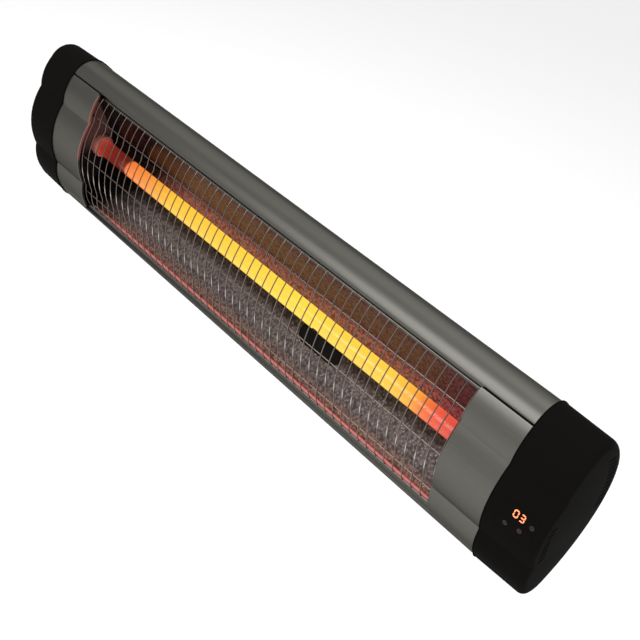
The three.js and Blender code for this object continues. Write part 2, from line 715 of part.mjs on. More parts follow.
// Closes one end of the chamber, from the front panel to the inside of the extrusion.
function chamberEndPlate({ word, sign }) {
  const behindPanel = frontHalf(-PANEL_SHEET - 1, 4, 3);
  const notch = LIP_EDGE - SEAT_GAP - 1;
  const front = behindPanel.filter((p) => p.y < notch - 2);
  const inside = shellInside(SEAT_GAP);
  const half = [...front, flat(front[front.length - 1].x + 3, notch), flat(inside[0].x, notch), ...inside];
  const outline = [...half, ...mirrorHeight(half.slice(1))];
  const holes = [circle(TUBE_DEPTH, 0, HOLDER_NECK + SEAT_GAP, 14)];
  if (sign < 0) holes.push(circle(LEAD_DEPTH, LONG_LEAD_HEIGHT, LEAD_HOLE_RADIUS, 8));
  if (sign > 0) {
    holes.push(circle(LEAD_DEPTH, LONG_LEAD_HEIGHT, LEAD_HOLE_RADIUS, 8));
    holes.push(circle(CUTOUT_LEAD_DEPTH, CUTOUT_LEAD_HEIGHT, LEAD_HOLE_RADIUS, 8));
  }
  const plate = prismX(outline, PLATE_FACE, PLATE_BACK, holes);
  return mesh(`chamber_end_plate_${word}`, onSide(plate, sign), blackSteel);
}

// ---------------------------------------------------------------------------------------------------------
// Tube
// ---------------------------------------------------------------------------------------------------------

function onTubeAxis(geometry) {
  return geometry.translate(0, TUBE_DEPTH, 0);
}

function quartzTube() {
  const wall = ring(TUBE_RADIUS - TUBE_WALL, TUBE_RADIUS, -TUBE_HALF, TUBE_HALF);
  return mesh('quartz_tube', onTubeAxis(turnedX(wall, 16)), quartz);
}

// The glowing sleeve, with a cone and a contact pin at each end.
function heatingElement() {
  const radius = TUBE_RADIUS - TUBE_WALL - ELEMENT_GAP;
  const profile = [
    flat(0, -PIN_END),
    flat(PIN_RADIUS, -PIN_END),
    flat(PIN_RADIUS, -GLOW_HALF - ELEMENT_CONE),
    flat(radius, -GLOW_HALF),
    flat(radius, GLOW_HALF),
    flat(PIN_RADIUS, GLOW_HALF + ELEMENT_CONE),
    flat(PIN_RADIUS, PIN_END),
    flat(0, PIN_END),
  ];
  return mesh('heating_element', onTubeAxis(turnedX(profile, 12)), glow);
}

function ceramicEnd({ word, sign }) {
  const bore = TUBE_RADIUS + BORE_GAP;
  const stop = TUBE_HALF + SEAT_GAP;
  const profile = [
    flat(bore, HOLDER_FACE),
    flat(HOLDER_RADIUS - 1.5, HOLDER_FACE),
    flat(HOLDER_RADIUS, HOLDER_FACE + 1.5),
    flat(HOLDER_RADIUS, CHAMBER_HALF),
    flat(HOLDER_NECK, CHAMBER_HALF),
    flat(HOLDER_NECK, HOLDER_TAIL),
    flat(PIN_RADIUS + BORE_GAP, HOLDER_TAIL),
    flat(PIN_RADIUS + BORE_GAP, stop),
    flat(bore, stop),
  ];
  return mesh(`ceramic_end_${word}`, onSide(onTubeAxis(turnedX(profile, 14)), sign), ceramic);
}

// A sprung ring round the ceramic's neck, open to the front, with a tail that bears on the end plate.
function tubeClip({ word, sign }) {
  const radius = HOLDER_NECK + SEAT_GAP + CLIP_SHEET / 2;
  const flare = 5;
  const open = arcPoints(0, 0, radius, -150, 150, 12);
  const [first, last] = [open[0], open[open.length - 1]];
  const path = [flat(first.x - flare, first.y - 1), ...open, flat(last.x - flare, last.y + 1)];
  const start = PLATE_BACK + SEAT_GAP;
  const clip = prismX(strip(path, CLIP_SHEET), start, start + CLIP_WIDTH);
  return mesh(`tube_clip_${word}`, onSide(onTubeAxis(clip), sign), zinc);
}

// ---------------------------------------------------------------------------------------------------------
// End caps
// ---------------------------------------------------------------------------------------------------------

// A closed skin over a stack of like outlines, each at its own x.
function loft(sections) {
  const count = sections[0].outline.length;
  const positions = sections.flatMap(({ x, outline }) => outline.flatMap((p) => [x, p.x, p.y]));
  const index = [];
  for (let s = 0; s + 1 < sections.length; s += 1) {
    for (let i = 0; i < count; i += 1) {
      const [a, b] = [s * count + i, s * count + ((i + 1) % count)];
      index.push(a, b, b + count, a, b + count, a + count);
    }
  }
  const cover = THREE.ShapeUtils.triangulateShape(sections[0].outline, []);
  const top = (sections.length - 1) * count;
  cover.forEach(([a, b, c]) => index.push(a, c, b, top + a, top + b, top + c));
  const geometry = new THREE.BufferGeometry();
  geometry.setAttribute('position', new THREE.BufferAttribute(new Float32Array(positions), 3));
  geometry.setIndex(index);
  return geometry;
}

// Outlines that come in by the draft and then turn in round the outer edge.
function cappedStack(offset, start, end, round, steps) {
  const sections = [{ x: start, outline: sectionOutline(offset) }];
  for (let i = 0; i <= steps; i += 1) {
    const angle = (i * Math.PI) / 2 / steps;
    sections.push({
      x: end - round * (1 - Math.sin(angle)),
      outline: sectionOutline(offset - CAP_DRAFT - round * (1 - Math.cos(angle))),
    });
  }
  return sections;
}

function ventSlot(depth, height) {
  const low = height - VENT_WIDTH / 2;
  const reach = 2 * CAP_WALL;
  return box(
    vector(CAP_INNER_END - CAP_WALL, depth, low),
    vector(CAP_INNER_END + reach, depth + VENT_LENGTH, low + VENT_WIDTH));
}

// One row of vents along the rear of the end face, and one along its front.
function vents() {
  const inset = CAP_PROUD - CAP_DRAFT - CAP_ROUND;
  const tools = [];
  for (let i = 0; i < REAR_VENTS; i += 1) {
    const height = REAR_VENT_HEIGHT + i * VENT_PITCH;
    const edge = REAR.grown(inset).atHeight(height, 1).x;
    tools.push(ventSlot(edge - VENT_EDGE - VENT_LENGTH, height));
  }
  for (let i = 0; i < FRONT_VENTS; i += 1) {
    const height = FRONT_VENT_HEIGHT - i * VENT_PITCH;
    const edge = MIDDLE_LOBE.grown(inset).atHeight(height, -1).x;
    tools.push(ventSlot(edge + VENT_EDGE, height));
  }
  return tools;
}

function capBlank() {
  const outer = loft(cappedStack(CAP_PROUD, CAP_START, CAP_START + CAP_LENGTH, CAP_ROUND, 2));
  const inner = loft(cappedStack(
    CAP_PROUD - CAP_WALL, CAP_START - CAP_WALL, CAP_INNER_END, CAP_ROUND - CAP_WALL, 1));
  return cut(outer, inner);
}

function windowTool(margin) {
  const middle = CAP_START + WINDOW_MIDDLE;
  const [wide, tall] = [WINDOW_WIDE / 2 - margin, WINDOW_TALL / 2 - margin];
  return box(
    vector(middle - wide, -MIDDLE_BULGE - 2 * CAP_WALL, WINDOW_HEIGHT - tall),
    vector(middle + wide, CAP_WALL - MIDDLE_BULGE + 2 * CAP_WALL, WINDOW_HEIGHT + tall));
}

// Greatest depth of the inner face of the cap's middle lobe.
function capFrontInside(height) {
  return MIDDLE_LOBE.grown(CAP_PROUD - CAP_DRAFT - CAP_WALL).atHeight(height, -1).x;
}

const MODULE_FRONT = capFrontInside(Math.abs(MODULE_HEIGHT) + MODULE_TALL / 2) + SEAT_GAP;
const DISPLAY_BOARD_FRONT = MODULE_FRONT + MODULE_THICK + SEAT_GAP;
const DISPLAY_BOARD_X = CAP_START + WINDOW_MIDDLE - DISPLAY_BOARD_WIDE / 2;
const CONTROL_BOARD_X = CAP_START + CONTROL_BOARD_IN;

// Posts moulded on the inside of the cap's front, for the display board.
function displayPosts() {
  const offset = DISPLAY_BOARD_WIDE / 2 - DISPLAY_POST_INSET;
  const height = DISPLAY_BOARD_TALL / 2 - DISPLAY_POST_INSET;
  const posts = [];
  [-1, 1].forEach((way) => {
    const start = capFrontInside(height) - 0.8 * CAP_WALL;
    const post = turnedY(rod(DISPLAY_POST_RADIUS, start, DISPLAY_BOARD_FRONT - SEAT_GAP), 8);
    posts.push(post.translate(CAP_START + WINDOW_MIDDLE + way * offset, 0, way * height));
  });
  return posts;
}

// Posts on the inside of the end face, for the control board.
function controlPosts() {
  const near = CONTROL_BOARD_FRONT + CONTROL_POST_INSET;
  const far = CONTROL_BOARD_FRONT + CONTROL_BOARD_WIDE - CONTROL_POST_INSET;
  const height = CONTROL_BOARD_TALL / 2 - CONTROL_POST_INSET;
  const start = CONTROL_BOARD_X + BOARD_THICK + SEAT_GAP;
  const posts = [];
  [near, far].forEach((depth) => {
    [-1, 1].forEach((way) => {
      const post = turnedX(rod(CONTROL_POST_RADIUS, start, CAP_INNER_END + CAP_WALL / 2), 8);
      posts.push(post.translate(0, depth, way * height));
    });
  });
  return posts;
}

const GLAND_SEAT_DEPTH = REAR.grown(CAP_PROUD).atHeight(GLAND_HEIGHT, 1).x + GLAND_STAND;

function onGland(geometry) {
  return geometry.translate(CAP_START + GLAND_X, 0, GLAND_HEIGHT);
}

function glandBoss() {
  return onGland(turnedY(rod(GLAND_BOSS_RADIUS, GLAND_SEAT_DEPTH - GLAND_BOSS_THICK, GLAND_SEAT_DEPTH), 12));
}

function endCap({ word, sign }) {
  let cap = cut(capBlank(), ...vents());
  if (sign > 0) {
    cap = join(cap, ...displayPosts(), ...controlPosts(), glandBoss());
    const depth = GLAND_SEAT_DEPTH - GLAND_BOSS_THICK;
    const bore = onGland(turnedY(rod(GLAND_RADIUS + BORE_GAP, depth - 1, GLAND_SEAT_DEPTH + 1), 12));
    cap = cut(cap, windowTool(0), bore);
  }
  return mesh(`end_cap_${word}`, onSide(cap, sign), blackPlastic);
}

// ---------------------------------------------------------------------------------------------------------
// Display and electronics, in the right cap
// ---------------------------------------------------------------------------------------------------------

function displayWindow() {
  return mesh('display_window', common(capBlank(), windowTool(SEAT_GAP)), smokedPlastic);
}

function displayModule() {
  const middle = CAP_START + WINDOW_MIDDLE;
  const geometry = box(
    vector(middle - MODULE_WIDE / 2, MODULE_FRONT, MODULE_HEIGHT - MODULE_TALL / 2),
    vector(middle + MODULE_WIDE / 2, MODULE_FRONT + MODULE_THICK, MODULE_HEIGHT + MODULE_TALL / 2));
  return mesh('display_module', geometry, whitePlastic);
}

function displayBoard() {
  const geometry = box(
    vector(DISPLAY_BOARD_X, DISPLAY_BOARD_FRONT, -DISPLAY_BOARD_TALL / 2),
    vector(DISPLAY_BOARD_X + DISPLAY_BOARD_WIDE, DISPLAY_BOARD_FRONT + BOARD_THICK, DISPLAY_BOARD_TALL / 2));
  return mesh('display_board', geometry, board);
}

function controlBoard() {
  const geometry = box(
    vector(CONTROL_BOARD_X, CONTROL_BOARD_FRONT, -CONTROL_BOARD_TALL / 2),
    vector(CONTROL_BOARD_X + BOARD_THICK, CONTROL_BOARD_FRONT + CONTROL_BOARD_WIDE, CONTROL_BOARD_TALL / 2));
  return mesh('control_board', geometry, board);
}

function relay() {
  const face = CONTROL_BOARD_X - SEAT_GAP;
  const depth = CONTROL_BOARD_FRONT + CONTROL_BOARD_WIDE / 2 - RELAY_SIZE.y / 2;
  const low = 2 * CONTROL_POST_INSET - CONTROL_BOARD_TALL / 2;
  const geometry = box(
    vector(face - RELAY_SIZE.x, depth, low),
    vector(face, depth + RELAY_SIZE.y, low + RELAY_SIZE.z));
  return mesh('relay', geometry, relayBlue);
}

// A finned extrusion standing on the board's upper half.
function heatSink() {
  const pitch = (SINK_WIDE - SINK_FIN) / (SINK_FINS - 1);
  const start = CONTROL_BOARD_FRONT + (CONTROL_BOARD_WIDE - SINK_WIDE) / 2;
  const face = CONTROL_BOARD_X - SEAT_GAP;
  const outline = [flat(face, start + SINK_WIDE), flat(face, start)];
  for (let i = 0; i < SINK_FINS; i += 1) {
    const edge = start + i * pitch;
    if (i > 0) outline.push(flat(face - SINK_BASE, edge));
    outline.push(flat(face - SINK_DEEP, edge));
    outline.push(flat(face - SINK_DEEP, edge + SINK_FIN));
    if (i < SINK_FINS - 1) outline.push(flat(face - SINK_BASE, edge + SINK_FIN));
  }
  const high = CONTROL_BOARD_TALL / 2 - 2 * CONTROL_POST_INSET;
  const geometry = extruded(outline, SINK_TALL, []).translate(0, 0, high - SINK_TALL);
  return mesh('heat_sink', geometry, anodised);
}

function terminalBlock() {
  const start = PLATE_BACK + SEAT_GAP;
  const half = TERMINAL_SIZE.clone().multiplyScalar(0.5);
  const geometry = box(
    vector(start, TERMINAL_DEPTH - half.y, TERMINAL_HEIGHT - half.z),
    vector(start + TERMINAL_SIZE.x, TERMINAL_DEPTH + half.y, TERMINAL_HEIGHT + half.z));
  return mesh('terminal_block', geometry, whitePlastic);
}

const CUTOUT_SEAT = REFLECTOR_DEPTH + REFLECTOR_SHEET / 2 + SEAT_GAP;

// A disc thermostat on the back of the reflector, with its stud towards the leads.
function thermalCutout() {
  const profile = [
    flat(0, CUTOUT_SEAT),
    flat(CUTOUT_RADIUS, CUTOUT_SEAT),
    flat(CUTOUT_RADIUS, CUTOUT_SEAT + CUTOUT_THICK),
    flat(CUTOUT_STEM_RADIUS, CUTOUT_SEAT + CUTOUT_THICK),
    flat(CUTOUT_STEM_RADIUS, CUTOUT_SEAT + CUTOUT_THICK + CUTOUT_STEM),
    flat(0, CUTOUT_SEAT + CUTOUT_THICK + CUTOUT_STEM),
  ];
  return mesh('thermal_cutout', turnedY(profile, 12).translate(CUTOUT_X, 0, 0), blackPlastic);
}

// Stepped evenly from point to point rather than along its length, so that short bends stay round.
class LeadCurve extends THREE.CatmullRomCurve3 {
  getPointAt(u, target) {
    return this.getPoint(u, target);
  }

  getTangentAt(u, target) {
    return this.getTangent(u, target);
  }
}

// A round lead of six flats along a smooth curve through its points.
function lead(name, points) {
  const extrudePath = new LeadCurve(points, false, 'centripetal');
  const steps = LEAD_STEPS * (points.length - 1);
  const shape = new THREE.Shape(circle(0, 0, LEAD_RADIUS, 6));
  return mesh(name, new THREE.ExtrudeGeometry(shape, { extrudePath, steps }), redLead);
}

function leads() {
  const pinFace = PIN_END + SEAT_GAP;
  const blockX = PLATE_BACK + SEAT_GAP + TERMINAL_SIZE.x / 2;
  const blockTop = TERMINAL_HEIGHT + TERMINAL_SIZE.z / 2 + SEAT_GAP;
  const blockFace = PLATE_BACK + 2 * SEAT_GAP + TERMINAL_SIZE.x;
  const blockFront = TERMINAL_DEPTH - TERMINAL_SIZE.y / 4;
  const long = [
    vector(-pinFace, TUBE_DEPTH, 0),
    vector(-pinFace - 4, TUBE_DEPTH, 0),
    vector(-pinFace - 7, TUBE_DEPTH + 10, 8),
    vector(-PLATE_BACK - 20, LEAD_DEPTH - 6, LONG_LEAD_HEIGHT - 5),
    vector(-PLATE_BACK - 8, LEAD_DEPTH, LONG_LEAD_HEIGHT),
    vector(PLATE_FACE - 30, LEAD_DEPTH, LONG_LEAD_HEIGHT),
    vector(PLATE_BACK + 6, LEAD_DEPTH, LONG_LEAD_HEIGHT),
    vector(blockX + 4, LEAD_DEPTH, LONG_LEAD_HEIGHT - 14),
    vector(blockX, blockFront, blockTop + 6),
    vector(blockX, blockFront, blockTop),
  ];
  const short = [
    vector(pinFace, TUBE_DEPTH, 0),
    vector(pinFace + 4, TUBE_DEPTH, 0),
    vector(pinFace + 7, TUBE_DEPTH + 8, -8),
    vector(pinFace + 5, blockFront - 6, TERMINAL_HEIGHT + 6),
    vector(blockFace + 5, blockFront, TERMINAL_HEIGHT),
    vector(blockFace, blockFront, TERMINAL_HEIGHT),
  ];
  const stem = CUTOUT_SEAT + CUTOUT_THICK + CUTOUT_STEM + SEAT_GAP;
  const sense = [
    vector(CUTOUT_X, stem, 0),
    vector(CUTOUT_X, stem + 4, 0),
    vector(CUTOUT_X + 6, stem + 9, 4),
    vector(CUTOUT_X + 30, CUTOUT_LEAD_DEPTH, CUTOUT_LEAD_HEIGHT),
    vector(PLATE_FACE - 20, CUTOUT_LEAD_DEPTH, CUTOUT_LEAD_HEIGHT),
    vector(PLATE_BACK + 4, CUTOUT_LEAD_DEPTH, CUTOUT_LEAD_HEIGHT),
    vector(blockX + 4, TERMINAL_DEPTH + 5, blockTop + 12),
    vector(blockX + 4, TERMINAL_DEPTH + 5, blockTop),
  ];
  return [lead('lead_left', long), lead('lead_right', short), lead('cutout_lead', sense)];
}

// ---------------------------------------------------------------------------------------------------------
// Cable gland
// ---------------------------------------------------------------------------------------------------------

function hexagon(u, v, radius) {
  return circle(u, v, radius, 6, Math.PI / 6);
}

function glandParts() {
  const seat = GLAND_SEAT_DEPTH + SEAT_GAP;
  const flange = prismY(hexagon(0, 0, GLAND_FLANGE_RADIUS), seat, seat + GLAND_FLANGE);
  const barrel = turnedY(rod(GLAND_RADIUS, seat - GLAND_BARREL, seat + 1), 12);
  const nipple = turnedY(rod(GLAND_NIPPLE_RADIUS, seat + 1, seat + GLAND_FLANGE + GLAND_NIPPLE), 12);
  const [low, high] = [seat - GLAND_BARREL - 1, seat + GLAND_FLANGE + GLAND_NIPPLE + 1];
  const bore = turnedY(rod(GLAND_BORE_RADIUS, low, high), 12);
  const gland = cut(join(flange, barrel, nipple), bore);

  const nutStart = seat + GLAND_FLANGE + SEAT_GAP;
  const dome = turnedY([
    flat(GLAND_BORE_RADIUS, nutStart + GLAND_NIPPLE),
    flat(GLAND_BORE_RADIUS, nutStart + GLAND_NUT),
    flat(GLAND_BORE_RADIUS + 2.5, nutStart + GLAND_NUT),
    flat(GLAND_NUT_RADIUS, nutStart + GLAND_NUT - 5),
    flat(GLAND_NUT_RADIUS, nutStart),
    flat(GLAND_NIPPLE_RADIUS + BORE_GAP, nutStart),
    flat(GLAND_NIPPLE_RADIUS + BORE_GAP, nutStart + GLAND_NIPPLE),
  ], 12);

  const lockEnd = GLAND_SEAT_DEPTH - GLAND_BOSS_THICK - SEAT_GAP;
  const locknut = prismY(hexagon(0, 0, LOCKNUT_RADIUS), lockEnd - LOCKNUT, lockEnd,
    [circle(0, 0, GLAND_RADIUS + BORE_GAP, 12)]);
  return [
    mesh('cable_gland', onGland(gland), blackPlastic),
    mesh('gland_nut', onGland(dome), blackPlastic),
    mesh('gland_locknut', onGland(locknut), blackPlastic),
  ];
}

// ---------------------------------------------------------------------------------------------------------
// Brackets. Drawn for the right-hand side; the ear of the arm stands at BRACKET_X.
// ---------------------------------------------------------------------------------------------------------

const ARM_INNER = BRACKET_X - ARM_SHEET / 2;
const ARM_OUTER = BRACKET_X + ARM_SHEET / 2;
const EAR_OUTER = ARM_INNER - SEAT_GAP;
const EAR_INNER = EAR_OUTER - WALL_SHEET;
const FOOT_FACE = BACK_Y + SEAT_GAP;
const FOOT_BACK = FOOT_FACE + ARM_SHEET;

// The curved slot that the lock bolt runs in: it limits the tilt.
function lockSlot() {
  const half = LOCK_RADIUS + BORE_GAP;
  const from = -90 - TILT_DOWN - SLOT_SPARE;
  const to = -90 + TILT_UP + SLOT_SPARE;
  const steps = 5;
  const outer = arcPoints(PIVOT_Y, PIVOT_Z, LOCK_OFFSET + half, from, to, steps);
  const inner = arcPoints(PIVOT_Y, PIVOT_Z, LOCK_OFFSET - half, to, from, steps);
  const [start, end] = [THREE.MathUtils.degToRad(from), THREE.MathUtils.degToRad(to)];
  const rounded = (angle, turn) => arcPoints(
    PIVOT_Y + LOCK_OFFSET * Math.cos(angle), PIVOT_Z + LOCK_OFFSET * Math.sin(angle), half,
    THREE.MathUtils.radToDeg(angle) + turn, THREE.MathUtils.radToDeg(angle) + turn + 180, 3).slice(1, -1);
  return [...outer, ...rounded(end, 0), ...inner, ...rounded(start, 180)];
}

function footBoltPlaces() {
  return [0, 1].map((i) => BRACKET_X + FOOT_BOLT_FIRST + i * FOOT_BOLT_PITCH);
}

// Direction, in degrees, in which an edge from the foot's upper (1) or lower (-1) corner meets the ear's round.
function earTangent(side) {
  const corner = flat(FOOT_FACE - PIVOT_Y, side * ARM_HALF - PIVOT_Z);
  const turn = Math.atan2(corner.y, corner.x) - side * Math.acos(ARM_RADIUS / corner.length());
  return THREE.MathUtils.radToDeg(turn);
}

// Bent from sheet: a foot on the back of the extrusion and an ear that hangs down round the pivot.
function tiltArm({ word, sign }) {
  const [from, to] = [earTangent(-1) - 360, earTangent(1)];
  const ear = prismX(
    [flat(FOOT_FACE, -ARM_HALF), ...arcPoints(PIVOT_Y, PIVOT_Z, ARM_RADIUS, from, to, 12),
      flat(FOOT_FACE, ARM_HALF)],
    ARM_INNER, ARM_OUTER,
    [circle(PIVOT_Y, PIVOT_Z, PIVOT_RADIUS + BORE_GAP, 12), lockSlot()]);
  const end = ARM_INNER + FOOT_LENGTH;
  const foot = prismY(
    [flat(ARM_INNER, -ARM_HALF), flat(end, -ARM_HALF), flat(end, ARM_HALF), flat(ARM_INNER, ARM_HALF)],
    FOOT_FACE, FOOT_BACK,
    footBoltPlaces().map((x) => circle(x, 0, FOOT_BOLT_RADIUS + BORE_GAP, 10)));
  return mesh(`tilt_arm_${word}`, onSide(join(ear, foot), sign), blackSteel);
}

function slideNut({ word, sign }) {
  const end = BACK_Y - CHANNEL_LIP - SEAT_GAP;
  const places = footBoltPlaces();
  const middle = (places[0] + places[1]) / 2;
  const [half, tall] = [SLIDE_NUT_LENGTH / 2, CHANNEL_HALF - SEAT_GAP];
  const outline = [flat(middle - half, -tall), flat(middle + half, -tall), flat(middle + half, tall),
    flat(middle - half, tall)];
  const nut = prismY(outline, end - SLIDE_NUT_THICK, end,
    places.map((x) => circle(x, 0, FOOT_BOLT_RADIUS + BORE_GAP, 10)));
  return mesh(`slide_nut_${word}`, onSide(nut, sign), zinc);
}

// A hexagon-headed bolt along Y, with its head on the foot.
function armBolts({ word, sign }) {
  return footBoltPlaces().map((x, i) => {
    const seat = FOOT_BACK + SEAT_GAP;
    const tip = BACK_Y - CHANNEL_LIP - SEAT_GAP - SLIDE_NUT_THICK;
    const head = prismY(hexagon(x, 0, FOOT_BOLT_HEAD_RADIUS), seat, seat + FOOT_BOLT_HEAD);
    const shank = turnedY(rod(FOOT_BOLT_RADIUS, tip, seat + 1), 10).translate(x, 0, 0);
    return mesh(`arm_bolt_${word}_${i + 1}`, onSide(join(head, shank), sign), zinc);
  });
}

function wallBracket({ word, sign }) {
  const ear = prismX(
    [
      flat(0, PIVOT_Z + WALL_EAR_TOP),
      ...arcPoints(PIVOT_Y, PIVOT_Z, WALL_EAR_RADIUS, 90, 190, 6),
      ...arcPoints(PIVOT_Y, LOCK_Z, LOCK_EAR_RADIUS, 180, 270, 4),
      flat(0, LOCK_Z - LOCK_EAR_RADIUS - WALL_SHEET),
    ],
    EAR_INNER, EAR_OUTER,
    [
      circle(PIVOT_Y, PIVOT_Z, PIVOT_RADIUS + BORE_GAP, 12),
      circle(PIVOT_Y, LOCK_Z, LOCK_RADIUS + BORE_GAP, 10),
    ]);
  const start = EAR_OUTER - WALL_PLATE_WIDE;
  const middle = (start + EAR_INNER) / 2;
  const [low, high] = [WALL_PLATE_Z - WALL_PLATE_HALF, WALL_PLATE_Z + WALL_PLATE_HALF];
  const slot = (rise) => oval(SCREW_SLOT_LENGTH, SCREW_SLOT_WIDTH, 4).map(
    (p) => flat(middle + p.x, WALL_PLATE_Z + rise + p.y));
  const plate = prismY(
    [flat(start, low), flat(EAR_OUTER, low), flat(EAR_OUTER, high), flat(start, high)],
    -WALL_SHEET, 0,
    [slot(SCREW_SLOT_HEIGHT), slot(-SCREW_SLOT_HEIGHT)]);
  return mesh(`wall_bracket_${word}`, onSide(join(ear, plate), sign), blackSteel);
}

// A round-headed bolt through both ears, with its nut on the inside.
function pivotParts({ word, sign }) {
  const seat = ARM_OUTER + SEAT_GAP;
  const tip = EAR_INNER - SEAT_GAP - PIVOT_NUT - BOLT_TAIL;
  const bolt = turnedX([
    flat(0, tip),
    flat(PIVOT_RADIUS, tip),
    flat(PIVOT_RADIUS, seat),
    flat(PIVOT_HEAD_RADIUS, seat),
    flat(PIVOT_HEAD_RADIUS, seat + PIVOT_HEAD / 3),
    flat(PIVOT_HEAD_RADIUS * 0.6, seat + PIVOT_HEAD),
    flat(0, seat + PIVOT_HEAD),
  ], 12).translate(0, PIVOT_Y, PIVOT_Z);
  const nut = prismX(hexagon(PIVOT_Y, PIVOT_Z, PIVOT_NUT_RADIUS), EAR_INNER - SEAT_GAP - PIVOT_NUT,
    EAR_INNER - SEAT_GAP, [circle(PIVOT_Y, PIVOT_Z, PIVOT_RADIUS + BORE_GAP, 12)]);
  return [
    mesh(`pivot_bolt_${word}`, onSide(bolt, sign), zinc),
    mesh(`pivot_nut_${word}`, onSide(nut, sign), zinc),
  ];
}

// The lock bolt runs in the arm's slot; a lobed knob on the inside clamps the two ears.
function lockParts({ word, sign }) {
  const seat = ARM_OUTER + SEAT_GAP;
  const knobEnd = EAR_INNER - SEAT_GAP;
  const tip = knobEnd - KNOB_THICK - BOLT_TAIL;
  const head = prismX(hexagon(PIVOT_Y, LOCK_Z, LOCK_HEAD_RADIUS), seat, seat + LOCK_HEAD);
  const shank = turnedX(rod(LOCK_RADIUS, tip, seat + 1), 10).translate(0, PIVOT_Y, LOCK_Z);
  const outline = [];
  const steps = 4 * KNOB_LOBES;
  for (let i = 0; i < steps; i += 1) {
    const angle = (i * 2 * Math.PI) / steps;
    const radius = KNOB_RADIUS - KNOB_DIP * (1 - Math.cos(KNOB_LOBES * angle)) / 2;
    outline.push(flat(PIVOT_Y + radius * Math.cos(angle), LOCK_Z + radius * Math.sin(angle)));
  }
  const knob = prismX(outline, knobEnd - KNOB_THICK, knobEnd,
    [circle(PIVOT_Y, LOCK_Z, LOCK_RADIUS + BORE_GAP, 10)]);
  return [
    mesh(`lock_bolt_${word}`, onSide(join(head, shank), sign), zinc),
    mesh(`lock_knob_${word}`, onSide(knob, sign), blackPlastic),
  ];
}

// ---------------------------------------------------------------------------------------------------------
// Assembly
// ---------------------------------------------------------------------------------------------------------

const heater = new THREE.Group();
heater.position.y = HEATER_Y;
heater.add(
  housingShell(), wireGrille(), reflector(), steadyPlate(), tubeSteady(), quartzTube(), heatingElement(),
  displayWindow(), displayModule(), displayBoard(), controlBoard(), relay(), heatSink(), terminalBlock(),
  thermalCutout(), ...leads(), ...glandParts());
SIDES.forEach((side) => {
  heater.add(frontPanel(side), chamberEndPlate(side), ceramicEnd(side), tubeClip(side), endCap(side));
});

const brackets = new THREE.Group();
SIDES.forEach((side) => {
  brackets.add(tiltArm(side), slideNut(side), ...armBolts(side));
  brackets.add(wallBracket(side), ...pivotParts(side), ...lockParts(side));
});

const barHeater = new THREE.Group();
barHeater.add(heater, brackets);

export default barHeater;
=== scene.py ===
"""Visual model of a wall-hung electric bar heater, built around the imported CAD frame.

Sizes are in millimetres and in the part's own frame: X along the heater, +Y into the wall, +Z up, with the
origin on the wall at the middle height of the level heater. "Depth" runs along Y and is 0 at the front
creases. Each sub-assembly is a class whose fields are its sizes. Meshes are made in place, so every object
stays at the origin, and ``MM`` turns millimetres into Blender's metres where a mesh is made.
"""

import logging
import math
from contextlib import contextmanager
from dataclasses import dataclass
from enum import Enum
from functools import cached_property, partial
from typing import Callable, Iterable, Iterator, Protocol, Sequence

import bmesh
import bpy
from mathutils import Matrix, Vector
from mathutils.geometry import tessellate_polygon


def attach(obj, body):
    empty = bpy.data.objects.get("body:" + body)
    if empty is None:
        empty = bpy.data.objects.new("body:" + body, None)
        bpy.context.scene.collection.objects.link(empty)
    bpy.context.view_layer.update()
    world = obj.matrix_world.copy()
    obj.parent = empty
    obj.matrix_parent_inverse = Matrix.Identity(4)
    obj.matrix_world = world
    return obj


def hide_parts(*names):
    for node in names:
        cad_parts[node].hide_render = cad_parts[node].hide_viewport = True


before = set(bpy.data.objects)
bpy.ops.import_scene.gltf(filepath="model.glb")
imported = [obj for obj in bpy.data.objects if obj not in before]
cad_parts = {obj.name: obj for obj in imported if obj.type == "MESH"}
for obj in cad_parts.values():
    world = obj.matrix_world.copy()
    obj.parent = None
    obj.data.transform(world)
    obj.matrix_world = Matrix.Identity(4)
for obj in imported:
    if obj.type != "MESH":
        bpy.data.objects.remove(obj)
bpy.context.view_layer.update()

LOG = logging.getLogger("bar_heater")
MM = 0.001
HEATER_Y = -170.0
MERGE = 1e-7
SMOOTH_ANGLE = math.radians(32)
SIDES = (("left", -1.0), ("right", 1.0))

Point = tuple[float, float]
Corner = tuple[float, float, float]
Place = Callable[[float, float, float], Corner]

# Signs of a rectangle's corners, in order.
SQUARE = ((-1, -1), (1, -1), (1, 1), (-1, 1))


class Body(Enum):
    """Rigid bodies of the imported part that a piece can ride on."""

    BRACKETS = "wall_brackets"
    HEATER = "heater"


class Push(Enum):
    """Direction in which a flat outline is pushed to make a solid."""

    X = "x"
    Y = "y"

    def corner(self, u: float, v: float, w: float) -> Corner:
        """Places one point of an outline.

        Args:
            u: First outline coordinate: y for X, x for Y.
            v: Height.
            w: Position along the push.

        Returns:
            The point in the part's frame.
        """
        return (w, u, v) if self is Push.X else (u, w, v)


# ----------------------------------------------------------------------------------------------------------
# Flat outlines
# ----------------------------------------------------------------------------------------------------------


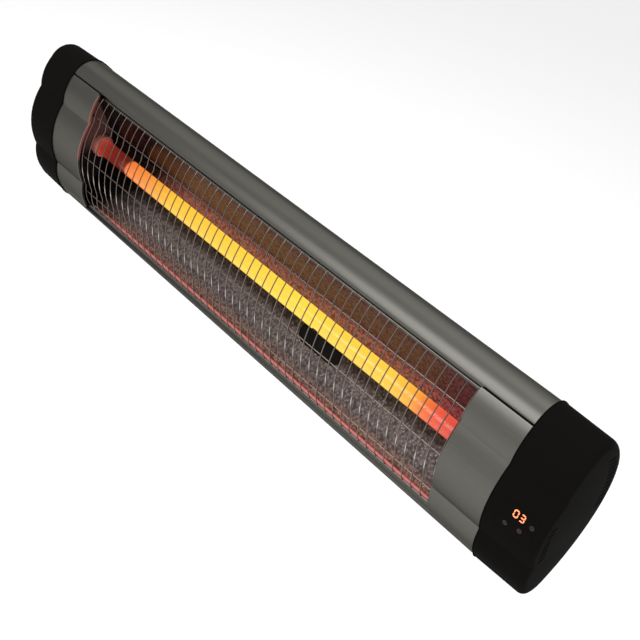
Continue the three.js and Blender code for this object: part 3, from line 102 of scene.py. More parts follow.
@dataclass(frozen=True)
class Arc:
    """A circular arc's circle in the (depth, height) plane."""

    depth: float
    height: float
    radius: float

    @classmethod
    def over_chord(cls, start: Point, end: Point, bulge: float) -> "Arc":
        """Finds the circle over a chord, crowned towards smaller depths.

        Args:
            start: Lower end of the chord.
            end: Upper end of the chord.
            bulge: Crown over the chord.

        Returns:
            The arc's circle.
        """
        across = (end[0] - start[0], end[1] - start[1])
        chord = math.hypot(*across)
        radius = (chord * chord / 4 + bulge * bulge) / (2 * bulge)
        reach = (radius - bulge) / chord
        middle = ((start[0] + end[0]) / 2, (start[1] + end[1]) / 2)
        return cls(middle[0] + across[1] * reach, middle[1] - across[0] * reach, radius)

    def grown(self, offset: float) -> "Arc":
        """Returns the same circle with its radius changed by an offset."""
        return Arc(self.depth, self.height, self.radius + offset)

    def angle(self, point: Point) -> float:
        """Returns the direction from the centre to a point, in radians."""
        return math.atan2(point[1] - self.height, point[0] - self.depth)

    def at(self, angle: float) -> Point:
        """Returns the point of the circle in one direction."""
        return (self.depth + self.radius * math.cos(angle), self.height + self.radius * math.sin(angle))

    def at_height(self, height: float, side: int) -> Point:
        """Returns the point at one height, on the far (1) or near (-1) side."""
        return (self.depth + side * math.sqrt(self.radius**2 - (height - self.height) ** 2), height)

    def at_depth(self, depth: float) -> Point:
        """Returns the upper point at one depth."""
        return (depth, self.height + math.sqrt(self.radius**2 - (depth - self.depth) ** 2))

    def walk(self, start: Point, end: Point, steps: int) -> list[Point]:
        """Lists points from one place on the arc to another, both included."""
        first = self.angle(start)
        sweep = (self.angle(end) - first + math.pi) % (2 * math.pi) - math.pi
        return [self.at(first + sweep * i / steps) for i in range(steps + 1)]

    def meet(self, other: "Arc", hint: Point) -> Point:
        """Returns where two circles cross, on the side of a hint."""
        run_to = (other.depth - self.depth, other.height - self.height)
        gap = math.hypot(*run_to)
        along = (run_to[0] / gap, run_to[1] / gap)
        run = (gap * gap + self.radius**2 - other.radius**2) / (2 * gap)
        rise = math.sqrt(self.radius**2 - run * run)
        foot = (self.depth + along[0] * run, self.height + along[1] * run)
        both = [(foot[0] - along[1] * way, foot[1] + along[0] * way) for way in (rise, -rise)]
        return min(both, key=lambda p: math.dist(p, hint))


def mirrored(points: Sequence[Point]) -> list[Point]:
    """Returns points mirrored in height, in the opposite order."""
    return [(u, -v) for u, v in reversed(points)]


def circle(u: float, v: float, radius: float, sides: int) -> list[Point]:
    """Lists the corners of a regular polygon round a centre."""
    angles = (2 * math.pi * i / sides for i in range(sides))
    return [(u + radius * math.cos(a), v + radius * math.sin(a)) for a in angles]


def sweep(u: float, v: float, radius: float, start: float, end: float, steps: int) -> list[Point]:
    """Lists points of an arc between two directions in degrees."""
    angles = (math.radians(start + (end - start) * i / steps) for i in range(steps + 1))
    return [(u + radius * math.cos(a), v + radius * math.sin(a)) for a in angles]


def slot_outline(u: float, v: float, length: float, width: float, steps: int = 8) -> list[Point]:
    """Lists the outline of a slot with round ends, its length along u."""
    run = (length - width) / 2
    far = sweep(u + run, v, width / 2, -90, 90, steps)
    return far + sweep(u - run, v, width / 2, 90, 270, steps)


def eased(corner: Point, before: Point, after: Point, radius: float, steps: int = 4) -> list[Point]:
    """Rounds one corner of an outline.

    Args:
        corner: The sharp corner.
        before: The outline's point before it.
        after: The outline's point after it.
        radius: Radius of the rounding.
        steps: Facets of the rounding.

    Returns:
        The points that take the corner's place.
    """
    here = Vector(corner)
    back = (Vector(before) - here).normalized()
    ahead = (Vector(after) - here).normalized()
    half = math.acos(max(-1.0, min(1.0, back.dot(ahead)))) / 2
    if math.pi / 2 - half < math.radians(1.5):
        return [corner]
    centre = here + (back + ahead).normalized() * (radius / math.sin(half))
    start = here + back * (radius / math.tan(half)) - centre
    end = here + ahead * (radius / math.tan(half)) - centre
    full = math.atan2(start.x * end.y - start.y * end.x, start.dot(end))
    points = []
    for i in range(steps + 1):
        spot = centre + Matrix.Rotation(full * i / steps, 2) @ start
        points.append((spot.x, spot.y))
    return points


def soften(outline: Sequence[Point], radius: float, least: float = 12.0, steps: int = 3) -> list[Point]:
    """Rounds every corner of a closed outline that turns by more than an angle in degrees."""
    count = len(outline)
    points: list[Point] = []
    for i, corner in enumerate(outline):
        before, after = outline[i - 1], outline[(i + 1) % count]
        one = (Vector(corner) - Vector(before)).normalized()
        two = (Vector(after) - Vector(corner)).normalized()
        turn = math.degrees(math.acos(max(-1.0, min(1.0, one.dot(two)))))
        room = 0.45 * min(math.dist(corner, before), math.dist(corner, after))
        fits = min(radius, room / max(math.tan(math.radians(turn) / 2), 1e-6))
        points += eased(corner, before, after, fits, steps) if turn > least else [corner]
    return points


def ribbon(path: Sequence[Point], thickness: float) -> list[Point]:
    """Returns the outline of a strip of even thickness along a path."""
    left, right = [], []
    for i, spot in enumerate(path):
        here = Vector(spot)
        into = (here - Vector(path[max(i - 1, 0)])).normalized() if i else None
        out = (Vector(path[min(i + 1, len(path) - 1)]) - here).normalized() if i + 1 < len(path) else None
        one, two = into or out, out or into
        normal = Vector((-one.y - two.y, one.x + two.x)).normalized()
        reach = thickness / 2 / normal.dot(Vector((-one.y, one.x)))
        left.append(tuple(here + normal * reach))
        right.append(tuple(here - normal * reach))
    return left + right[::-1]


@dataclass(frozen=True)
class Section:
    """The heater's section: three lobes in front, round shoulders and a round back."""

    crease_height: float = 40.0
    middle_bulge: float = 10.4
    groove_depth: float = 11.5
    groove_height: float = 78.0
    side_bulge: float = 3.6
    shoulder_depth: float = 36.0
    shoulder_height: float = 66.0
    rear_depth: float = 100.0

    @property
    def crease(self) -> Point:
        """The upper crease between two lobes."""
        return (0.0, self.crease_height)

    @property
    def groove(self) -> Point:
        """The upper groove between the front panels and the extrusion."""
        return (self.groove_depth, self.groove_height)

    @property
    def middle(self) -> Arc:
        """The middle lobe."""
        return Arc.over_chord((0.0, -self.crease_height), self.crease, self.middle_bulge)

    @property
    def side(self) -> Arc:
        """The upper side lobe."""
        return Arc.over_chord(self.crease, self.groove, self.side_bulge)

    @property
    def shoulder(self) -> Arc:
        """The upper shoulder."""
        centre = (self.shoulder_depth, self.shoulder_height)
        return Arc(*centre, math.dist(centre, self.groove))

    @property
    def rear(self) -> Arc:
        """The back, which runs smoothly into both shoulders."""
        reach = self.rear_depth - self.shoulder_depth
        turn = self.shoulder.radius
        radius = (reach**2 + self.shoulder_height**2 - turn**2) / (2 * (reach - turn))
        return Arc(self.rear_depth - radius, 0.0, radius)

    @property
    def blend(self) -> float:
        """Direction in which shoulder and back meet."""
        return self.rear.angle((self.shoulder_depth, self.shoulder_height))

    def front(self, offset: float, crease_radius: float, steps: int = 14) -> list[Point]:
        """Lists the front from its nose up to the groove, with the crease eased."""
        middle, side = self.middle.grown(offset), self.side.grown(offset)
        crease = middle.meet(side, self.crease)
        groove = side.meet(self.shoulder.grown(offset), self.groove)
        lower = middle.walk(middle.at(math.pi), crease, steps)
        upper = side.walk(crease, groove, steps)
        return lower[:-1] + eased(crease, lower[-2], upper[1], crease_radius) + upper[1:]

    def back(self, offset: float, steps: int = 18) -> list[Point]:
        """Lists the outline from the groove over the shoulder and down the back to the middle."""
        shoulder, rear = self.shoulder.grown(offset), self.rear.grown(offset)
        groove = self.side.grown(offset).meet(shoulder, self.groove)
        over = shoulder.walk(groove, shoulder.at(self.blend), steps)
        return over + rear.walk(rear.at(self.blend), rear.at(0.0), steps)[1:]

    def outline(self, offset: float, crease_radius: float) -> list[Point]:
        """Lists the whole outline, moved out or in by an offset."""
        front, back = self.front(offset, crease_radius), self.back(offset)
        joint = eased(front[-1], front[-2], back[1], crease_radius)
        half = front[:-1] + joint + back[1:]
        return half + mirrored(half[1:-1])

    def lobes(self, offset: float, crease_radius: float, *ends: Point) -> list[Point]:
        """Lists the line over all three lobes, short of the grooves, with optional ends."""
        half = self.front(offset, crease_radius)[:-1] + list(ends)
        return mirrored(half[1:]) + half


# ----------------------------------------------------------------------------------------------------------
# Meshes
# ----------------------------------------------------------------------------------------------------------


def placed(name: str, data: bpy.types.ID) -> bpy.types.Object:
    """Makes an object of some data and puts it in the scene."""
    made = bpy.data.objects.new(name, data)
    bpy.context.scene.collection.objects.link(made)
    return made


@contextmanager
def edited(mesh: bpy.types.Mesh) -> Iterator[bmesh.types.BMesh]:
    """Opens a mesh for edits and writes it back at the end."""
    work = bmesh.new()
    work.from_mesh(mesh)
    yield work
    work.to_mesh(mesh)
    work.free()


def in_heater(points: Iterable[Point]) -> list[Point]:
    """Moves (depth, height) points to the part's (y, height)."""
    return [(HEATER_Y + depth, height) for depth, height in points]


class Skin:
    """Corners and faces that are gathered for one mesh object, in millimetres."""

    def __init__(self) -> None:
        """Starts with nothing in it."""
        self.corners: list[Corner] = []
        self.faces: list[tuple[int, ...]] = []

    def add(self, corners: Iterable[Corner], faces: Iterable[Sequence[int]]) -> "Skin":
        """Adds corners and the faces between them."""
        first = len(self.corners)
        self.corners.extend(tuple(c) for c in corners)
        self.faces.extend(tuple(first + i for i in face) for face in faces)
        return self

    def loft(self, rings: Sequence[Sequence[Corner]], capped: bool = True, looped: bool = False) -> "Skin":
        """Joins closed rings of equal length into a skin.

        Args:
            rings: The rings, in order.
            capped: Whether the first and last ring get a face.
            looped: Whether the last ring joins the first.

        Returns:
            This skin.
        """
        count, total = len(rings[0]), len(rings)
        faces = [
            (
                s * count + i,
                s * count + (i + 1) % count,
                (s + 1) % total * count + (i + 1) % count,
                (s + 1) % total * count + i,
            )
            for s in range(total if looped else total - 1)
            for i in range(count)
        ]
        if capped and not looped:
            last = (total - 1) * count
            faces.append(tuple(reversed(range(count))))
            faces.append(tuple(range(last, last + count)))
        return self.add([corner for ring in rings for corner in ring], faces)

    def prism(self, push: Push, loops: Sequence[Sequence[Point]], start: float, end: float) -> "Skin":
        """Pushes an outline, with holes as further loops, along an axis."""
        flat = [[Vector((u, v, 0.0)) for u, v in loop] for loop in loops]
        cover = tessellate_polygon(flat)
        points = [p for loop in loops for p in loop]
        count = len(points)
        corners = [push.corner(u, v, w) for w in (start, end) for u, v in points]
        faces: list[Sequence[int]] = [(c, b, a) for a, b, c in cover]
        faces += [(a + count, b + count, c + count) for a, b, c in cover]
        first = 0
        for loop in loops:
            for i in range(len(loop)):
                a, b = first + i, first + (i + 1) % len(loop)
                faces.append((a, b, b + count, a + count))
            first += len(loop)
        return self.add(corners, faces)

    def turned(self, profile: Sequence[Point], place: Place, sides: int) -> "Skin":
        """Turns a closed (radius, run) profile about an axis.

        Args:
            profile: Closed loop of points, each a radius and a position along the axis.
            place: Gives a corner from two coordinates across the axis and one along it.
            sides: Facets round the axis.

        Returns:
            This skin.
        """
        rings = []
        for i in range(sides):
            angle = 2 * math.pi * i / sides
            rings.append([place(r * math.cos(angle), r * math.sin(angle), run) for r, run in profile])
        return self.loft(rings, capped=False, looped=True)

    def tube(self, path: Sequence[Vector], radius: float, sides: int = 8) -> "Skin":
        """Sweeps a round wire along a path, with closed ends."""
        rings = []
        side = None
        for i, spot in enumerate(path):
            ahead = (path[min(i + 1, len(path) - 1)] - path[max(i - 1, 0)]).normalized()
            if side is None:
                side = ahead.orthogonal().normalized()
            side = (side - ahead * side.dot(ahead)).normalized()
            up = ahead.cross(side)
            angles = (2 * math.pi * k / sides for k in range(sides))
            rings.append([tuple(spot + (side * math.cos(a) + up * math.sin(a)) * radius) for a in angles])
        return self.loft(rings)

    def mirror_x(self) -> "Skin":
        """Mirrors everything so far to the other end of the heater."""
        self.corners = [(-x, y, z) for x, y, z in self.corners]
        self.faces = [tuple(reversed(face)) for face in self.faces]
        return self

    def object(self, name: str, material: bpy.types.Material) -> bpy.types.Object:
        """Makes one mesh object of everything so far, shaded smooth and broken at sharp edges."""
        mesh = bpy.data.meshes.new(name)
        mesh.from_pydata([Vector(c) * MM for c in self.corners], [], self.faces)
        with edited(mesh) as work:
            bmesh.ops.remove_doubles(work, verts=work.verts, dist=MERGE)
            bmesh.ops.recalc_face_normals(work, faces=work.faces)
        mesh.materials.append(material)
        made = placed(name, mesh)
        shaded(made)
        return made


def applied(thing: bpy.types.Object) -> bpy.types.Object:
    """Turns an object's modifiers into plain mesh."""
    view = bpy.context.evaluated_depsgraph_get()
    mesh = bpy.data.meshes.new_from_object(thing.evaluated_get(view), depsgraph=view)
    thing.modifiers.clear()
    thing.data = mesh
    return thing


def shaded(thing: bpy.types.Object) -> None:
    """Shades a mesh smooth, with edges kept sharp beyond an angle."""
    mesh = thing.data
    mesh.polygons.foreach_set("use_smooth", [True] * len(mesh.polygons))
    mesh.set_sharp_from_angle(angle=SMOOTH_ANGLE)


def carved(
    thing: bpy.types.Object, cutter: bpy.types.Object, operation: str = "DIFFERENCE"
) -> bpy.types.Object:
    """Cuts an object out of another, or keeps what they share, and deletes the cutter."""
    tool = thing.modifiers.new("cut", "BOOLEAN")
    tool.operation = operation
    tool.solver = "EXACT"
    tool.object = cutter
    applied(thing)
    bpy.data.objects.remove(cutter)
    shaded(thing)
    return thing


def fitted(thing: bpy.types.Object, body: Body, slot: str, *nodes: str) -> bpy.types.Object:
    """Ties a piece to its body and hides the CAD nodes that it stands for."""
    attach(thing, body.value)
    if nodes:
        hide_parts(*nodes)
    LOG.info("%s: %d faces, for %s", thing.name, len(thing.data.polygons), ", ".join(nodes) or "detail")
    return thing


# ----------------------------------------------------------------------------------------------------------
# Materials
# ----------------------------------------------------------------------------------------------------------

Socket = bpy.types.NodeSocket
Stops = tuple[tuple[float, str], ...]
Palette = dict[str, bpy.types.Material]

# Most of a noise texture's values lie between these two.
NOISE_LOW, NOISE_HIGH = 0.3, 0.7


def linear(code: str) -> tuple[float, float, float, float]:
    """Turns an sRGB hex code such as "a0b0c0" into a linear colour with alpha."""
    parts = (int(code[i : i + 2], 16) / 255 for i in (0, 2, 4))
    return (*(c / 12.92 if c <= 0.04045 else ((c + 0.055) / 1.055) ** 2.4 for c in parts), 1.0)


def add_node(
    tree: bpy.types.NodeTree,
    kind: str,
    inputs: dict | None = None,
    output: int | str = 0,
    stops: Stops = (),
    **settings,
) -> Socket | None:
    """Adds one node with its settings and links.

    Args:
        tree: Tree that gets the node.
        kind: Type of the node.
        inputs: Values or sockets by input name or number.
        output: Which output to return.
        stops: Positions and sRGB codes, for a colour ramp.
        **settings: Properties of the node.

    Returns:
        The chosen output socket, or None from a node without any.
    """
    node = tree.nodes.new(kind)
    for key, value in settings.items():
        setattr(node, key, value)
    for key, value in (inputs or {}).items():
        if isinstance(value, Socket):
            tree.links.new(value, node.inputs[key])
        else:
            node.inputs[key].default_value = value
    if stops:
        elements = node.color_ramp.elements
        while len(elements) < len(stops):
            elements.new(0.5)
        for element, (position, code) in zip(elements, stops):
            element.position, element.color = position, linear(code)
    return node.outputs[output] if node.outputs else None


def between(value: Socket, low: float, high: float, to_low: float = 0.0, to_high: float = 1.0) -> dict:
    """Returns inputs that map a value from one range to another, held at its ends."""
    return {0: value, 1: low, 2: high, 3: to_low, 4: to_high}


class Shader:
    """A material's node tree, with one call per node."""

    def __init__(self, name: str) -> None:
        """Starts a material with a Principled surface."""
        self.material = bpy.data.materials.new(name)
        self.material.use_nodes = True
        self.surface = self.material.node_tree.nodes["Principled BSDF"]

    def add(self, kind: str, inputs: dict | None = None, output: int | str = 0, **settings) -> Socket:
        """Adds one shader node, with its kind given short of "ShaderNode", as add_node does."""
        return add_node(self.material.node_tree, f"ShaderNode{kind}", inputs, output, **settings)

    @cached_property
    def place_mm(self) -> Socket:
        """Object coordinates in millimetres."""
        place = self.add("TexCoord", output="Object")
        return self.add("VectorMath", {0: place, 1: (1 / MM,) * 3}, operation="MULTIPLY")

    @cached_property
    def along(self) -> bpy.types.bpy_prop_collection:
        """Sockets X, Y and Z of the coordinates in millimetres."""
        return self.add("SeparateXYZ", {0: self.place_mm}).node.outputs

    def set(self, **inputs) -> None:
        """Sets or links inputs of the surface. Underscores stand for spaces in their names."""
        for key, value in inputs.items():
            socket = self.surface.inputs[key.replace("_", " ")]
            if isinstance(value, Socket):
                self.material.node_tree.links.new(value, socket)
            else:
                socket.default_value = value


class Finish(Protocol):
    """A finish: its fields say how the surface looks."""

    def material(self) -> bpy.types.Material:
        """Builds the material."""


@dataclass(frozen=True)
class Anodised:
    """Satin anodised aluminium: a calm grey sheen with faint lines along the extrusion.

    Where ``lit`` names ranges in millimetres, the tube's reflection is painted on an edge there as a thin
    pink line of emission.
    The lines are 0.6 mm apart and some 100 mm long, which is as coarse as they need to be to show.
    """

    name: str = "anodised_aluminium"
    lit: tuple[tuple[str, float, float, float], ...] = ()
    # Colour and strength of the painted reflection of the tube on the lit edges.
    glow: str = "d8706a"
    reflection_strength: float = 0.7
    dark: str = "605f5a"
    light: str = "65645f"
    edge: str = "9c9c9c"
    roughness: float = 0.34
    lines_per_mm: Corner = (0.01, 1.6, 1.6)
    depth_mm: float = 0.004

    def material(self) -> bpy.types.Material:
        """Builds the material."""
        shader = Shader(self.name)
        drawn = shader.add("VectorMath", {0: shader.place_mm, 1: self.lines_per_mm}, operation="MULTIPLY")
        lines = shader.add("TexNoise", {"Vector": drawn, "Scale": 1.0, "Detail": 3.0})
        gloss = between(lines, NOISE_LOW, NOISE_HIGH, self.roughness - 0.03, self.roughness + 0.04)
        greys = ((NOISE_LOW, self.dark), (NOISE_HIGH, self.light))
        shader.set(
            Base_Color=shader.add("ValToRGB", {0: lines}, stops=greys),
            Metallic=1.0,
            Specular_Tint=linear(self.edge),
            Roughness=shader.add("MapRange", gloss),
            Normal=shader.add("Bump", {"Height": lines, "Distance": self.depth_mm * MM}),
        )
        # Painted reflection of the tube: emission only inside all the lit ranges.
        painted_reflection = None
        for axis, low, high, fade in self.lit:
            for edge, into in ((low, fade), (high, -fade)):
                mask = shader.add("MapRange", between(shader.along[axis], edge - into, edge))
                painted_reflection = shader.add("Math", {0: mask, 1: painted_reflection or self.reflection_strength}, operation="MULTIPLY")
        if painted_reflection:
            shader.set(Emission_Color=linear(self.glow), Emission_Strength=painted_reflection)
        return shader.material


@dataclass(frozen=True)
class Grained:
    """A moulded, coated or glazed surface with a fine grain that breaks up its highlights."""

    name: str
    code: str
    roughness: float
    gloss: float
    grain_mm: float
    depth_mm: float

    def material(self) -> bpy.types.Material:
        """Builds the material."""
        shader = Shader(self.name)
        grain = shader.add("TexNoise", {"Vector": shader.place_mm, "Scale": 1 / self.grain_mm, "Detail": 3.0})
        gloss = between(grain, NOISE_LOW, NOISE_HIGH, self.roughness - 0.05, self.roughness + 0.05)
        shader.set(
            Base_Color=linear(self.code),
            Roughness=shader.add("MapRange", gloss),
            Specular_IOR_Level=self.gloss,
            Normal=shader.add("Bump", {"Height": grain, "Distance": self.depth_mm * MM}),
        )
        return shader.material


@dataclass(frozen=True)
class PlainMetal:
    """Plain worked metal: an even colour with slight clouding of its gloss."""

    name: str
    code: str
    roughness: float
    cloud_mm: float = 6.0

    def material(self) -> bpy.types.Material:
        """Builds the material."""
        shader = Shader(self.name)
        cloud = shader.add("TexNoise", {"Vector": shader.place_mm, "Scale": 1 / self.cloud_mm})
        gloss = between(cloud, NOISE_LOW, NOISE_HIGH, self.roughness - 0.04, self.roughness + 0.06)
        shader.set(Base_Color=linear(self.code), Metallic=1.0, Roughness=shader.add("MapRange", gloss))
        return shader.material


@dataclass(frozen=True)
class PolishedWire:
    """Steel wire, painted lighter where it bends low on the middle lobe: painted highlights in short dashes.
    """

    steel: str = "6e6560"
    bright: str = "b6b0aa"
    low: float = -32.0
    high: float = -13.0
    roughness: float = 0.22

    def material(self) -> bpy.types.Material:
        """Builds the material."""
        shader = Shader("steel_wire")
        height = shader.add("MapRange", between(shader.along["Z"], self.low, self.high))
        stops = ((0.1, self.steel), (0.38, self.bright), (0.62, self.bright), (0.95, self.steel))
        painted_dashes = shader.add("ValToRGB", {0: height}, stops=stops)
        shader.set(Base_Color=painted_dashes, Metallic=1.0, Roughness=self.roughness)
        return shader.material


@dataclass(frozen=True)
class GlowPaintedPlate:
    """Dark steel end plate of the chamber, with the tube's glow painted on as a brown pink above the tube;
    below it, its own dark colour.
    """

    painted_light: str = "7c5650"
    dark: str = "161312"
    low: float = -12.0
    high: float = 14.0
    metallic: float = 0.3
    roughness: float = 0.5

    def material(self) -> bpy.types.Material:
        """Builds the material."""
        shader = Shader("steel_glow_painted")
        height = shader.add("MapRange", between(shader.along["Z"], self.low, self.high))
        tint = shader.add("ValToRGB", {0: height}, stops=((0.0, self.dark), (1.0, self.painted_light)))
        shader.set(Base_Color=tint, Metallic=self.metallic, Roughness=self.roughness)
        return shader.material


@dataclass(frozen=True)
class HammeredReflector:
    """Aluminium with a hammered relief and painted light: it sparkles in flecks and mirrors the tube softly.

    ``bands`` gives its colour by height, with painted light and shade: a rosy painted reflection of the tube
    at the lip, grey above it, a darker painted shade just under the tube, a pink painted glow of the tube
    behind it, and a brown painted reflection on the upper wall, where the relief is faint. The left end,
    beyond the glow, is painted dark, a painted reflection of the black end plate, along a line that leans
    with the height. Each dent is lighter in its middle than on its rim.
    """

    bands: Stops = (
        (0.04, "a67a6c"),
        (0.1, "8e807c"),
        (0.24, "8e807c"),
        (0.3, "54463f"),
        (0.41, "54463f"),
        (0.45, "ac7478"),
        (0.62, "ac7478"),
        (0.68, "6c4645"),
    )
    heights: Point = (-70.0, 70.0)
    painted_dark_end: str = "1d1816"
    dark_end_span: Point = (-228.0, -160.0)
    dark_end_lean: float = -0.9
    dents: Stops = ((0.1, "ffffff"), (0.62, "9a9a9a"))
    mirror_end: Point = (-16.0, -8.0)
    mirror: Point = (0.65, 0.15)
    smooth_from: Point = (20.0, 34.0)
    smooth_relief: float = 0.25
    edge: str = "bcbcbc"
    fleck_mm: float = 2.8
    depth_mm: float = 0.35
    roughness: float = 0.2
    gloss: float = 0.04

    def material(self) -> bpy.types.Material:
        """Builds the material."""
        shader = Shader("hammered_aluminium")
        place, height = shader.place_mm, shader.along["Z"]
        stray = shader.add("TexNoise", {"Vector": place, "Scale": 0.5}, "Color")
        warped = shader.add("VectorMath", {0: place, 1: stray}, operation="ADD")
        cells = shader.add("TexVoronoi", {"Vector": warped, "Scale": 1 / self.fleck_mm}, feature="SMOOTH_F1")
        # Colour by height: painted reflections, glow and shade of the tube in bands.
        band = shader.add("MapRange", between(height, *self.heights))
        tint = shader.add("ValToRGB", {0: band}, stops=self.bands)
        # Painted reflection of the black end plate: darker towards the left end, along a line that leans with
        # the height.
        leaning = {0: height, 1: self.dark_end_lean, 2: shader.along["X"]}
        lean = shader.add("Math", leaning, operation="MULTIPLY_ADD")
        x_ramp = shader.add("MapRange", between(lean, *self.dark_end_span))
        painted_light = shader.add("Mix", {"Factor": x_ramp, 6: linear(self.painted_dark_end), 7: tint}, 2, data_type="RGBA")
        rim = shader.add("ValToRGB", {0: cells}, stops=self.dents)
        base = shader.add("Mix", {"Factor": 1.0, 6: painted_light, 7: rim}, 2, data_type="RGBA", blend_type="MULTIPLY")
        relief = shader.add("MapRange", between(height, *self.smooth_from, 1.0, self.smooth_relief))
        dented = shader.add("Math", {0: cells, 1: relief}, operation="MULTIPLY")
        shader.set(
            Base_Color=base,
            Metallic=shader.add("MapRange", between(height, *self.mirror_end, *self.mirror)),
            Roughness=self.roughness,
            Specular_IOR_Level=self.gloss,
            Specular_Tint=linear(self.edge),
            Normal=shader.add("Bump", {"Height": dented, "Distance": self.depth_mm * MM}),
        )
        return shader.material


@dataclass(frozen=True)
class Glow:
    """Incandescence along the tube: yellow over its length and orange to red towards both cooler ends.

    The left end of the glow is crisp and the right one fades. Beyond them the surface shows as much as
    ``clear`` says.
    """

    name: str
    clear: float = 1.0
    code: str = "54100c"
    roughness: float = 0.08
    strength: float = 1.03
    glow_from: float = -250.0
    glow_to: float = 268.0
    fade: float = 20.0
    shimmer_mm: float = 2.4
    stops: Stops = (
        (-314.0, "a83e30"),
        (-300.0, "82291f"),
        (-284.0, "641f17"),
        (-252.0, "541c14"),
        (-249.0, "ec7a34"),
        (-205.0, "f4983c"),
        (-160.0, "fcc63a"),
        (60.0, "ffdc48"),
        (200.0, "fbce48"),
        (228.0, "f6b43c"),
        (246.0, "ee7c38"),
        (262.0, "e65a40"),
        (300.0, "c04a40"),
    )

    def material(self) -> bpy.types.Material:
        """Builds the material."""
        shader = Shader(self.name)
        x, low, high = shader.along["X"], self.stops[0][0], self.stops[-1][0]
        stops = tuple(((stop - low) / (high - low), code) for stop, code in self.stops)
        x_ramp = shader.add("ValToRGB", {0: shader.add("MapRange", between(x, low, high))}, stops=stops)
        noise = {"Vector": shader.place_mm, "Scale": 1 / self.shimmer_mm, "Detail": 1.0}
        shimmer = between(
            shader.add("TexNoise", noise), NOISE_LOW, NOISE_HIGH, self.strength * 0.95, self.strength * 1.05
        )
        left = between(x, self.glow_from - 2.0, self.glow_from, self.clear, 1.0)
        right = between(x, self.glow_to, self.glow_to + self.fade, 0.0, self.clear - 1.0)
        ends = {0: shader.add("MapRange", left), 1: shader.add("MapRange", right)}
        shader.set(
            Base_Color=linear(self.code),
            Roughness=self.roughness,
            Emission_Color=x_ramp,
            Emission_Strength=shader.add("MapRange", shimmer),
            Alpha=shader.add("Math", ends, operation="ADD"),
        )
        return shader.material


@dataclass(frozen=True)
class Lit:
    """A small lit mark: it shines in its own colour whatever the light."""

    name: str
    code: str
    strength: float

    def material(self) -> bpy.types.Material:
        """Builds the material."""
        shader = Shader(self.name)
        colour = linear(self.code)
        shader.set(Base_Color=colour, Emission_Color=colour, Emission_Strength=self.strength)
        return shader.material


# Where the tube's pink reflection is painted, as emission, on the extrusion's lower lip and the left panel's
# edge.
LIP_LIGHT = (("Z", -70.6, -68.0, 3.5), ("Y", -155.0, -151.0, 0.5), ("X", -230.0, 280.0, 60.0))
PANEL_LIGHT = (("X", -300.8, -299.0, 0.5), ("Z", 0.0, 66.0, 10.0))

# Grained surfaces give their colour, roughness, gloss, and the grain's width and depth in millimetres.
FINISHES: dict[str, Finish] = {
    "anodised": Anodised(),
    # The extrusion and the panels carry a painted reflection of the tube along the edges named above.
    "extrusion": Anodised("anodised_extrusion", LIP_LIGHT),
    "panel": Anodised("anodised_panel", PANEL_LIGHT, reflection_strength=0.2),
    # Eroded moulds leave a dry, nearly black surface without a clear highlight.
    "black": Grained("black_plastic", "121110", 0.62, 0.004, 0.7, 0.02),
    # A window of the same black, a little smoother.
    "smoked": Grained("smoked_plastic", "11100f", 0.5, 0.006, 0.7, 0.01),
    # Steel wire with painted highlights low on the middle lobe.
    "wire": PolishedWire(),
    # Hammered aluminium, with the tube's reflections, glow and shade painted in bands.
    "reflector": HammeredReflector(),
    # Dark end plates with the tube's glow painted on above the tube.
    "painted_glow_plate": GlowPaintedPlate(),
    # Powder coating is black with a soft orange-peel sheen.
    "coated": Grained("powder_coated_steel", "121110", 0.42, 0.3, 1.2, 0.02),
    "shade": Grained("blackened_steel", "100f0e", 0.5, 0.05, 1.2, 0.01),
    # Zinc is bright and cool, and tempered spring steel nearly black.
    "zinc": PlainMetal("zinc_plated_steel", "b5b6b8", 0.28),
    "spring": PlainMetal("spring_steel", "1c1a19", 0.45),
    # The glass is seen through beyond the glow, and the filament inside isn't.
    "quartz": Glow("quartz_glass", 0.6),
    "filament": Glow("filament"),
    # Unglazed ceramic, painted pink for the tube's light that falls on it.
    "ceramic": Grained("ceramic", "d88878", 0.6, 0.2, 1.5, 0.02),
    "digits": Lit("lit_digits", "ff8a5a", 1.25),
    "mark_grey": Lit("mark_grey", "1b1f1c", 0.25),
    "mark_red": Lit("mark_red", "33141a", 0.3),
    "mark_green": Lit("mark_green", "14221b", 0.25),
    # Inside: lacquered board, glossy relay, satin nylon and dull silicone.
    "board": Grained("circuit_board", "1d5232", 0.35, 0.5, 3.0, 0.02),
    "relay": Grained("relay_case", "2b4c96", 0.3, 0.5, 1.0, 0.01),
    "white": Grained("white_plastic", "d8d5cc", 0.45, 0.5, 0.8, 0.01),
    "lead": Grained("silicone_lead", "94332a", 0.55, 0.4, 0.5, 0.01),
}


# ----------------------------------------------------------------------------------------------------------
# Sub-assemblies
# ----------------------------------------------------------------------------------------------------------

SECTION = Section()


